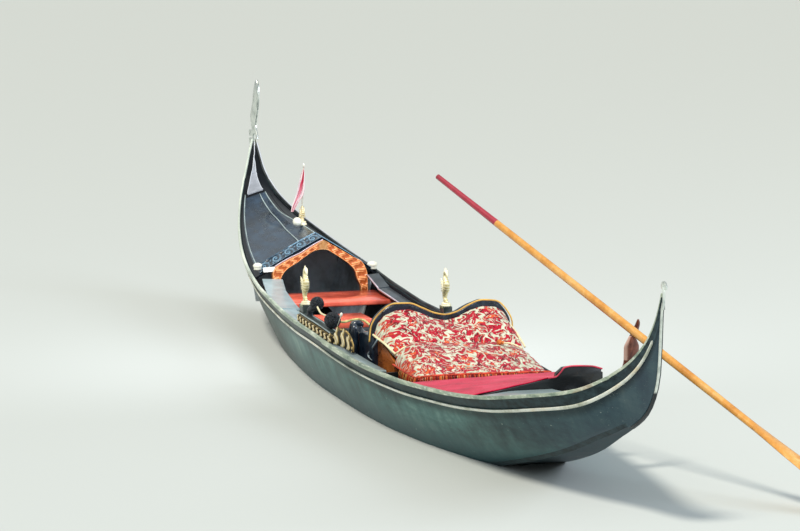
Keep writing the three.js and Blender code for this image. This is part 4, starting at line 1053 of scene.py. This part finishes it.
COVER_EDGE = [(-1.012, 0.505, 0.764), (-1.120, 0.502, 0.754), (-1.260, 0.495, 0.742), (-1.400, 0.484, 0.716),
              (-1.490, 0.476, 0.700)]
LID_EDGE = [(-1.490, 0.470, 0.706), (-1.478, 0.400, 0.742), (-1.472, 0.300, 0.752), (-1.474, 0.180, 0.742),
            (-1.480, 0.060, 0.728), (-1.486, -0.100, 0.722), (-1.490, -0.260, 0.716), (-1.492, -0.400, 0.700)]
FAR_EDGE = [(-1.012, -0.446, 0.806), (-1.260, -0.436, 0.760), (-1.490, -0.420, 0.706)]
CREAM_CORD = plain("cream_cord", "f2e7bd", 0.6, 0.0, 0.1)
bar("cover_cord_port", COVER_EDGE, 0.0075, CREAM_CORD, "damask", 40)
bar("cover_cord_low", LID_EDGE, 0.0075, CREAM_CORD, "damask", 80)
bar("cover_cord_starboard", FAR_EDGE, 0.0075, CREAM_CORD, "damask", 40)


# Fringe of the lid. Twisted strands of dark red, orange and gold silk hang close together from a
# thick braid, which is sewn along the lid's edge.
def fringe_silk():
    silk = Finish("fringe_silk", {"Specular IOR Level": 0.3})
    strand = silk.part(silk.cloth(), 0)
    colour = silk.shades(strand, (0.0, "180808"), (0.3, "6e1016"), (0.58, "b02a1c"), (0.8, "dd6428"),
                         (0.95, "eebb6a"))
    return silk.feed(colour, strand * 0.1 + 0.6)


def gathered(parts):
    """Several corner and face lists as one."""
    corners, faces = [], []
    for more, links in parts:
        faces += [tuple(k + len(corners) for k in face) for face in links]
        corners += list(more)
    return corners, faces


FRINGE_LINE = [(-1.560, 0.512, 0.636), (-1.760, 0.514, 0.634), (-1.980, 0.514, 0.632), (-2.150, 0.512, 0.636),
               (-2.200, 0.480, 0.650), (-2.203, 0.380, 0.654), (-2.203, 0.200, 0.654), (-2.203, 0.000, 0.650),
               (-2.203, -0.200, 0.646), (-2.200, -0.380, 0.640)]
STRANDS = 420
rng = random.Random(4)
line = [Vector(p) for p in curve_through(FRINGE_LINE, STRANDS)]
strands, uv = [], []
for i in range(1, STRANDS - 1):
    run = line[i + 1] - line[i - 1]
    out = Vector((run.y, -run.x, 0)).normalized()
    if out.x > 0 or (abs(out.x) < 0.2 and out.y < 0):
        out = -out
    length = rng.uniform(0.036, 0.070)
    shade = rng.random()
    start = line[i] + Vector((rng.uniform(-0.002, 0.002), rng.uniform(-0.002, 0.002), rng.uniform(0, 0.006)))
    rings = []
    for t in np.linspace(0, 1, 5):
        spot = start + out * (0.004 + 0.022 * t - 0.012 * t * t) - Vector((0, 0, length * t))
        turns = [2 * math.pi * q / 3 for q in range(3)]
        rings.append([spot + Vector((math.cos(a), math.sin(a), 0)) * (0.0024 - 0.0008 * t) for a in turns])
        uv += [(shade, t)] * 3
    strands.append(strung(rings))
made("lid_fringe", gathered(strands), fringe_silk(), "damask", uv=uv)
bar("fringe_braid", [p + Vector((0, 0, 0.006)) for p in line], 0.007,
    plain("braid", "c4472f", 0.7, 0.0, 0.3, 40.0), "damask")

# Tassel. A bound bunch of orange silk lies on the padded lid, at the end of a cream cord of its
# own that is sewn to the damask.
TASSEL = [(-1.677, -0.218, 0.766), (-1.700, -0.240, 0.770), (-1.735, -0.270, 0.764), (-1.767, -0.294, 0.752)]
TASSEL_GIRTH = [0.008, 0.014, 0.011, 0.013, 0.017, 0.019, 0.020, 0.014]
bar("tassel_cord", TASSEL, 0.006, CREAM_CORD, "damask", 20)
path = [Vector(TASSEL[0]) + Vector((0.050 * t, 0.028 * t, 0.004 * math.sin(t * 3)))
        for t in np.linspace(0, 1, 8)]
bar("tassel", path, TASSEL_GIRTH, plain("tassel_silk", "d8702f", 0.7, 0.0, 0.3, 60.0), "damask", sides=12)

# Armchair. A small chair stands to starboard beside the sofa. Its frame and its loose seat pad are
# both covered in the same blue-black leather.
upholster("armchair_starboard", "armchair_hide", LEATHER, 0.009, 10, 0.006)
upholster("armchair_starboard_cushion", "armchair_seat_pad", LEATHER, 0.009, 10, 0.006)

# Gilded side panels. Thin boards along the inside of the sheer, pierced and carved in S scrolls,
# with gold leaf over them. The port one ends aft in a tall leaf.
GOLD_LEAF = carved_finish("gold_leaf", "191207", "d0b26a", "fff4d0", 0.36, 0.0, 0.3)
PANEL_FORE = 0.480
LEAF_FOOT = -0.57
LEAF = [(-0.980, 0.040, 0.052), (-0.900, 0.092, 0.050), (-0.800, 0.112, 0.044), (-0.680, 0.104, 0.026),
        (-0.590, 0.042, 0.006), (-0.560, 0.0357, 0.0), (-0.150, 0.0357, 0.0), (0.480, 0.0357, 0.0)]
PANELS = (("port", 1, -0.980, 13, LEAF), ("starboard", -1, -0.270, 6, LEAF[-2:]))
COLUMNS_A_SCROLL, ROWS = 40, 24


def rail_side(x, s):
    """Outer side of the gilded panel, and the height of the planking's top, at x."""
    ys, zs = section(s, x)
    return abs(ys[5]) - 0.021 - 0.034, zs[5]


for side, s, aft, scrolls, shape in PANELS:
    count = COLUMNS_A_SCROLL * scrolls
    rings, uv = [], []
    for x, u in zip(np.linspace(aft, PANEL_FORE, count), np.linspace(0, scrolls, count)):
        y, z = rail_side(x, s)
        y -= read(shape, x, 2)
        top = read(shape, x)
        crest = 0.0
        if s > 0 and x < LEAF_FOOT:
            crest = 0.034 * max(0.0, math.cos(2 * math.pi * (u + 0.45))) ** 2 - 0.012
        ring = []
        for v in np.linspace(0, 1, ROWS):
            h = leafwork(u, v)
            ring.append((x, s * (y + 0.006 * h), z - 0.012 + (top + 0.012 + crest * v) * v))
            uv.append((h * 1.1, v))
        rings.append(ring + [(x, s * (y - 0.014), z + top), (x, s * (y - 0.014), z - 0.018)])
        uv += [(0.4, 1), (0.1, 0)]
    made("gilded_scrolls_" + side, strung(rings), GOLD_LEAF, "gilt", "gilded_panel_" + side, 60, uv)

# Armrests. A flat rail of painted wood is fixed on top of each gilded panel, with a light bead
# along both of its edges.
RAIL_PAINT = plain("rail_paint", "2c3836", 0.35, 0.15, 0.25)
RAIL_RISE, RAIL_WIDE, BEAD_INSET = 0.0565, 0.068, 0.006
for side, s, aft in (("port", 1, -0.560), ("starboard", -1, -0.270)):
    dress("armrest_" + side, RAIL_PAINT, 0.002)
    run = [(x, *rail_side(x, s)) for x in np.linspace(aft, PANEL_FORE, 60)]
    for edge, inset in (("outer", BEAD_INSET), ("inner", RAIL_WIDE - BEAD_INSET)):
        path = [(x, s * (y + 0.001 - inset), z + RAIL_RISE) for x, y, z in run]
        bar("rail_bead_" + edge + "_" + side, path, 0.0042, BEAD_PAINT)

# Gilded sea horses. Each is carved from one piece of wood, on a stepped block at the armrest's
# fore end: a coiled tail, a scaled body that bends back, a fin behind it and a bowed head.
SEAHORSE_GOLD = carved_finish("seahorse_gold", "5e5220", "d2c27e", "f6efcb", 0.34, 0.1, 0.25)
DRAWN_HEIGHT = 0.275
BODY = [(0.010, 0.030, 0.016), (0.030, 0.060, 0.020), (0.022, 0.095, 0.026), (-0.006, 0.125, 0.030),
        (-0.014, 0.155, 0.029), (0.006, 0.185, 0.024), (0.022, 0.212, 0.017), (0.014, 0.238, 0.017),
        (-0.008, 0.250, 0.015)]


def shaded(parts):
    """Parts as one form, with the height of each corner over its own axis kept for the gilder."""
    return gathered([part[:2] for part in parts]), [place for part in parts for place in part[2]]


def limb(path, radius, sides=12, squash=None, ribs=0.0, beat=0.0):
    """A round bar with ribs: its corners and faces, and the height of each corner."""
    wave = np.array([0.5 + 0.5 * math.cos(i * beat) for i in range(len(path))])
    corners, faces = swept(path, np.broadcast_to(radius, len(path)) * (1 - ribs + ribs * wave), sides, squash)
    return corners, faces, [(0.35 + 0.65 * w, 0.5) for w in wave for _ in range(sides)]


def ray(root, tip, girth, bow=(0, 0, 0)):
    """One thin ray of a fin or a crest, which ends in a point."""
    return limb([root, (root + tip) / 2 + Vector(bow), tip], [*girth, 0.001], 8)


def sea_horse(foot, scale):
    def at(x, z, y=0.0):
        return foot + Vector((x, y, z)) * scale

    body = curve_through(BODY, 60)
    parts = [limb([at(x, z) for x, z, _ in body], body[:, 2] * scale, 16, ((0, 1, 0), 0.85), 0.12, 1.9)]
    coil = []
    for t in np.linspace(0, 1, 40):
        wound = 1 - t * 0.62
        coil.append(at(0.006 + 0.026 * wound * math.cos(t * 9.0), 0.026 + 0.021 * wound * math.sin(t * 9.0)))
    parts.append(limb(coil, np.linspace(0.014, 0.005, 40) * scale, 12, None, 0.15, 1.5))
    snout = curve_through([at(-0.006, 0.250), at(-0.024, 0.240), at(-0.036, 0.222), at(-0.038, 0.212)], 14)
    parts.append(limb(snout, np.linspace(0.015, 0.007, 14) * scale))
    for k in range(5):
        root = at(0.010 - 0.004 * k, 0.250 + 0.002 * k)
        tip = at(0.030 - 0.012 * k, 0.258 + 0.016 * math.sin(0.6 + k * 0.6))
        parts.append(ray(root, tip, (0.006 * scale, 0.005 * scale)))
    for way in (-1, 1):
        for k in range(6):
            root = at(0.016, 0.118 + 0.008 * k, way * 0.012)
            tip = at(0.052 - 0.004 * abs(k - 3), 0.098 + 0.020 * k, way * 0.026)
            parts.append(ray(root, tip, (0.005 * scale, 0.0045 * scale), (0, way * 0.004, 0.004)))
    base = [at(0, rise) for rise in (0.0, 0.006, 0.012, 0.018, 0.024)]
    parts.append(limb(base, np.array([0.038, 0.039, 0.032, 0.033, 0.024]) * scale, 24))
    return shaded(parts)


for _, side in SIDES:
    low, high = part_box("seahorse_" + side)
    foot = Vector(((low.x + high.x) / 2 - 0.004, (low.y + high.y) / 2, low.z))
    form, uv = sea_horse(foot, (high.z - low.z) / DRAWN_HEIGHT)
    made("sea_horse_" + side, form, SEAHORSE_GOLD, "gilt", "seahorse_" + side, 60, uv)
    square = ((-0.036, -0.034), (0.036, -0.034), (0.036, 0.034), (-0.036, 0.034))
    rings = [[foot + Vector((dx, dy, dz)) for dx, dy in square] for dz in (-0.0015, -0.0135)]
    step_gold = plain("step_gold_" + side, "8d9a66", 0.35, 0.2, 0.25, 30.0)
    made("figure_step_" + side, strung(rings), step_gold, "gilt", smooth=False)


# Pompons. Two balls of cut black wool are tied to the port armrest, the fore one on a thick
# woollen stalk, with a cream cord between them and a gilt cord that hangs inboard.
def pompon(centre, radius, count, seed):
    """Tufts of wool, evenly spread over a ball: corners and faces, and the shade of each corner, darker at
    the root as painted shade.
    """
    rng = random.Random(seed)
    corners, faces, uv = [], [], []
    for k in range(count):
        up = 1 - 2 * (k + 0.5) / count
        level = math.sqrt(1 - up * up)
        turn = k * math.pi * (3 - math.sqrt(5))
        way = Vector((level * math.cos(turn), level * math.sin(turn), up))
        way = (way + Vector([rng.uniform(-0.14, 0.14) for _ in range(3)])).normalized()
        wing = way.orthogonal().normalized()
        far = centre + way * radius * rng.uniform(0.90, 1.02)
        at = len(corners)
        shade = rng.random()
        for q in range(3):
            a = 2 * math.pi * q / 3
            side = (wing * math.cos(a) + way.cross(wing) * math.sin(a)) * 0.003
            corners += [centre + way * radius * 0.3 + side, far + side]
            # Each tuft's own tone, darkened at its root: painted shade inside the ball.
            uv += [(shade * 0.2, 0), (shade, 1)]
        faces += [(at, at + 1, at + 3, at + 2), (at + 2, at + 3, at + 5, at + 4),
                  (at + 4, at + 5, at + 1, at)]
        faces.append((at + 1, at + 5, at + 3))
    return corners, faces, uv


def black_wool():
    look = {"Roughness": 0.85, "Sheen Weight": 0.3, "Sheen Roughness": 0.5, "Specular IOR Level": 0.3}
    wool = Finish("black_wool", look)
    shade = wool.part(wool.cloth(), 0)
    return wool.feed(wool.shades(shade, (0.1, "0b0f14"), (0.6, "252d36"), (1.0, "4b5762")))


WOOL = black_wool()
FORE_BALL = Vector((0.070, 0.636, 0.842))
STALK = [(0.215, 0.655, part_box("pompon_fore")[0].z + 0.002), (0.213, 0.655, 0.772), (0.150, 0.646, 0.802),
         (0.090, 0.638, 0.836)]
BETWEEN = [(0.070, 0.640, 0.836), (-0.020, 0.648, 0.815), (-0.140, 0.655, 0.800), (-0.260, 0.652, 0.800),
           (-0.352, 0.646, 0.802)]
GILT_CORD = [(-0.410, 0.600, 0.780), (-0.370, 0.555, 0.767), (-0.330, 0.520, 0.764), (-0.300, 0.475, 0.768),
             (-0.330, 0.440, 0.776), (-0.420, 0.425, 0.781), (-0.550, 0.410, 0.764)]
RAIL_KNOB = [(-0.545, 0.640, 0.765), (-0.575, 0.624, 0.830), (-0.580, 0.622, 0.842), (-0.584, 0.620, 0.856),
             (-0.586, 0.619, 0.864)]
low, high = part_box("pompon_aft")
form, uv = shaded([pompon((low + high) / 2, 0.058, 2600, 7)])
made("wool_ball_aft", form, WOOL, "leather", "pompon_aft", smooth=False, uv=uv)
corners, faces, _ = limb(curve_through(STALK, 30), np.linspace(0.023, 0.026, 30), 14, None, 0.15, 2.2)
form, uv = shaded([pompon(FORE_BALL, 0.050, 2200, 3), (corners, faces, [(0.5, 0.5)] * len(corners))])
made("wool_ball_fore", form, WOOL, "leather", "pompon_fore", smooth=False, uv=uv)
bar("pompon_cord", BETWEEN, 0.0065, CREAM_CORD, "damask", 40)
bar("gilt_cord", GILT_CORD, 0.0085, plain("gilt_cord", "ecd98e", 0.45, 0.1, 0.25, 30.0), "gilt", 50, 10)
bar("rail_knob", RAIL_KNOB, [0.003, 0.003, 0.010, 0.010, 0.003], KNOB_CREAM, "board", sides=14)

# Afterdeck, and the rowing platform with its toe board, which the back foot pushes on. Both are
# painted black. A thin pale board lies on the afterdeck, over its middle and port quarter.
TOE_X = -3.190
TOE_BEAD = [(-0.052, 0.770), (-0.098, 0.774), (-0.130, 0.800), (-0.160, 0.832), (-0.214, 0.838),
            (-0.334, 0.831), (-0.402, 0.812)]
dress("afterdeck", BLACK_PAINT, 0.003)
dress("rowing_platform", BLACK_PAINT, 0.003)
toe_line = [(TOE_X, y, z) for y, z in curve_through(TOE_BEAD, 40)]
bar("toe_board_bead", toe_line, 0.0055, plain("toe_red", "d5405a", 0.6, 0.0, 0.2), "carpet")
stop = [[(x, -0.300, 0.706), (x, -0.408, 0.716), (x, -0.408, 0.790), (x, -0.300, 0.790)]
        for x in (-3.182, -3.150)]
made("toe_board_foot", strung(stop), BLACK_PAINT, "black", smooth=False)

QUARTER = [(-3.204, 0.008), (-3.300, 0.006), (-3.400, 0.004), (-3.520, 0.002)]
QUARTER_Y = np.linspace(-0.070, 0.440, 14)
after_rows = stations("afterdeck")
upper = []
for p in after_rows.values():
    places = sorted({y for y, _ in p})[:4]
    upper.append([max(q for q in p if abs(q[0] - place) < 0.001) for place in places])
upper = np.array(upper)
rings = []
for x, lift in QUARTER:
    ys, zs = ([fair(list(after_rows), upper[:, k, c], [x])[0] for k in range(4)] for c in (0, 1))
    face = [(x, y, np.interp(y, ys, zs)) for y in QUARTER_Y]
    rings.append([(x, y, z + lift) for x, y, z in face] + face[::-1])
made("quarter_board", strung(rings), BOARD_PAINT, "board", crease=30)


# Carpet. Short red pile on a thin backing, cut to the rowing platform and laid on it from side to
# side.
def carpet_pile():
    look = {"Roughness": 0.95, "Sheen Weight": 0.2, "Sheen Roughness": 0.5, "Specular IOR Level": 0.1}
    pile = Finish("carpet_pile", look)
    place = pile.place()
    tuft = pile.grain(place, 160.0, 2.0)
    trodden = pile.grain(place, 5.0, 4.0, 0.6)
    colour = pile.shades(trodden * 0.7 + tuft * 0.3, (0.3, "9c0f30"), (0.5, "cf2348"), (0.7, "e4466a"))
    return pile.feed(colour, normal=pile.relief(tuft, 0.004, 0.7))


COUNT, ROWS = 60, 50
known = list(stations("carpet"))
sections = []
for p in stations("carpet").values():
    line = sorted({round(y, 4): max(z for q, z in p if abs(q - y) < 0.001) for y, _ in p}.items())
    ys, zs = zip(*line)
    reach = np.linspace(ys[0], ys[-1], ROWS)
    sections.append([reach, np.interp(reach, ys, zs)])
sections = np.array(sections)
xs = np.linspace(known[0], known[-1], COUNT)
laid = np.array([[fair(known, sections[:, c, k], xs) for k in range(ROWS)] for c in (0, 1)])
corners = []
for i, x in enumerate(xs):
    for y, z in zip(*laid[:, :, i]):
        ripple = 0.0012 * math.sin(x * 23 + y * 11) + 0.0010 * math.sin(y * 31 - x * 9)
        corners.append((x, y, z + ripple))
carpet = made("carpet_pile", (corners, woven(COUNT, ROWS)), carpet_pile(), "carpet", "carpet")
thickened(carpet, 0.007)

# Ornament, pole and flag on the foredeck: a cream ball and a gilded figure at the foot of a thin
# cream pole, and a small red and white flag that hangs in folds.
FIGURE = [(0.000, 0.18, 0.016), (0.012, 0.34, 0.022), (0.010, 0.48, 0.027), (-0.010, 0.62, 0.022),
          (-0.012, 0.74, 0.014), (0.000, 0.86, 0.016), (0.004, 0.97, 0.006)]
low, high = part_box("bow_ornament")
foot = Vector((3.230, 0.0, low.z))
tall = high.z - low.z
base = [foot + Vector((0, 0, tall * t)) for t in (0, 0.06, 0.12, 0.16, 0.2)]
figure = curve_through(FIGURE, 50)
spine = [foot + Vector((x, 0, tall * t)) for x, t, _ in figure]
parts = [limb(base, [0.034, 0.036, 0.028, 0.030, 0.020], 24),
         limb(spine, figure[:, 2], 16, ((0, 1, 0), 0.8), 0.1, 1.7)]
for k in range(7):
    for way in (-1, 1):
        root = foot + Vector((-0.004, way * 0.014, tall * (0.46 + 0.03 * k)))
        tip = foot + Vector((0.012, way * (0.030 - 0.002 * k), tall * (0.36 + 0.09 * k)))
        parts.append(ray(root, tip, (0.005, 0.0045)))
form, uv = shaded(parts)
made("gilded_ornament", form, GOLD_LEAF, "gilt", "bow_ornament", 60, uv)

BALL = Vector((3.196, 0.052, low.z + 0.030))
BALL_HALF = 0.036
turns = np.linspace(-1.5, 1.5, 16)
path = [BALL + Vector((0, 0, BALL_HALF * math.sin(a))) for a in turns]
bar("cream_ball", path, [BALL_HALF * math.cos(a) for a in turns], KNOB_CREAM, "board", sides=20)
dress("flag_pole", plain("pole_cream", "ded9c8", 0.4, 0.1), 0)
POLE_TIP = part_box("flag_pole")[1].z
path = [(3.161, 0, POLE_TIP - 0.030), (3.160, 0, POLE_TIP - 0.006), (3.158, 0, POLE_TIP + 0.002)]
bar("pole_tip", path, [0.009, 0.006, 0.001], KNOB_CREAM, "board", sides=12)


def flag_silk():
    silk = Finish("flag_silk", {"Roughness": 0.7, "Sheen Weight": 0.2, "Specular IOR Level": 0.2})
    place = silk.cloth()
    across, down = silk.part(place, 0), silk.part(place, 1)
    soft = silk.grain(place, 9.0, 3.0) * 0.16
    bands = (across * 1.4 + down * 0.5 + soft * 2.2) % 1.0
    white = bands.rise(0.42, 0.50) * (1 - bands.rise(0.86, 0.94))
    pale = silk.blend((1 - down).rise(0.3, 0.75), tint("cc2f50"), tint("eba9b4"))
    return silk.feed(silk.blend(white, pale, tint("f4e6e6")))


FLAG_RUN = [(0.476, 0.004, -0.006), (0.408, -0.010, 0.024), (0.318, -0.014, 0.044), (0.250, -0.004, 0.058),
            (0.196, 0.030, 0.074), (0.150, 0.056, 0.088), (0.108, 0.076, 0.094)]
POLE_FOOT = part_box("flag")[0].z - 0.108
COUNT, ROWS = 60, 22
corners, uv = [], []
for i, (h, near, far) in enumerate(curve_through(FLAG_RUN, COUNT)):
    for v in np.linspace(0, 1, ROWS):
        fold = 0.007 * math.sin(v * 15 + i * 0.09) * min(1, i / 14)
        x = 3.214 - 0.066 * (h - 0.161) / 0.339 + fold
        corners.append((x, near + (far - near) * v, POLE_FOOT + h))
        uv.append((v, 1 - i / (COUNT - 1)))
flag = made("flag_cloth", (corners, woven(COUNT, ROWS)), flag_silk(), "cloth", "flag", uv=uv)


# Rowlock. One block of walnut stands on the starboard cap, leans outboard and is carved to the
# crook that the oar lies in, with a horn behind it. Its port edge is painted pale: a painted highlight.
def walnut():
    board = Finish("walnut", {"Coat Roughness": 0.15})
    place = board.stretched(board.place(), (1.0, 1.0, 0.35))
    ring = board.grain(place, 14.0, 5.0, 0.6, 1.2)
    colour = board.shades(ring, (0.32, "341510"), (0.5, "6a3324"), (0.66, "8f523e"))
    # A pale strip on the port edge: painted highlight.
    worn = board.part(board.cloth(), 0).rise(0.74, 0.94)
    colour = board.blend(worn * 0.85, colour, tint("e6bfb0"))
    return board.feed(colour, ring * 0.2 + 0.22, coat=ring * 0.1 + 0.3, normal=board.relief(ring, 0.002, 0.3))


POST = [(-3.600, -0.328, 0.750, 0.040, 0.022), (-3.602, -0.362, 0.800, 0.042, 0.026),
        (-3.612, -0.418, 0.860, 0.036, 0.038), (-3.630, -0.440, 0.930, 0.030, 0.046),
        (-3.652, -0.436, 1.010, 0.027, 0.048), (-3.672, -0.432, 1.055, 0.022, 0.032),
        (-3.680, -0.430, 1.084, 0.016, 0.018)]
HORN = [(-3.640, -0.420, 0.950, 0.024), (-3.600, -0.452, 1.050, 0.020), (-3.590, -0.486, 1.110, 0.017),
        (-3.604, -0.494, 1.150, 0.013), (-3.616, -0.492, 1.172, 0.006)]
HIGHLIGHT_FROM = 0.93
turns = [2 * math.pi * k / 28 for k in range(28)]
rings, uv = [], []
for x, y, z, deep, wide in curve_through(POST, 50):
    rings.append([(x + deep * math.cos(a), y + wide * math.sin(a), z) for a in turns])
    # The port side of the upper post carries the painted highlight.
    uv += [(0.5 + 0.5 * math.sin(a) if z > HIGHLIGHT_FROM else 0.0, 0.5) for a in turns]
line = curve_through(HORN, 30)
horn = swept(line[:, :3], line[:, 3], 16)
uv += [(0.2, 0.5)] * len(horn[0])
made("rowlock", gathered([strung(rings), horn]), walnut(), "walnut", "forcola", uv=uv)

# Oar. A long beech shaft, planed round and varnished, with a handle painted dark red, and a flat
# blade that widens from the shaft.
OAR_WOOD = wood("oar_wood", "c07a2c", "dd9d48", "f0c07a", (0.6, 0.6, 0.3), 0.25, 0.5)
dress("oar_shaft", OAR_WOOD, 0)
dress("oar_blade", OAR_WOOD, 0.002)
dress("oar_handle", plain("oar_red", "a2293c", 0.3, 0.4, 0.15), 0)
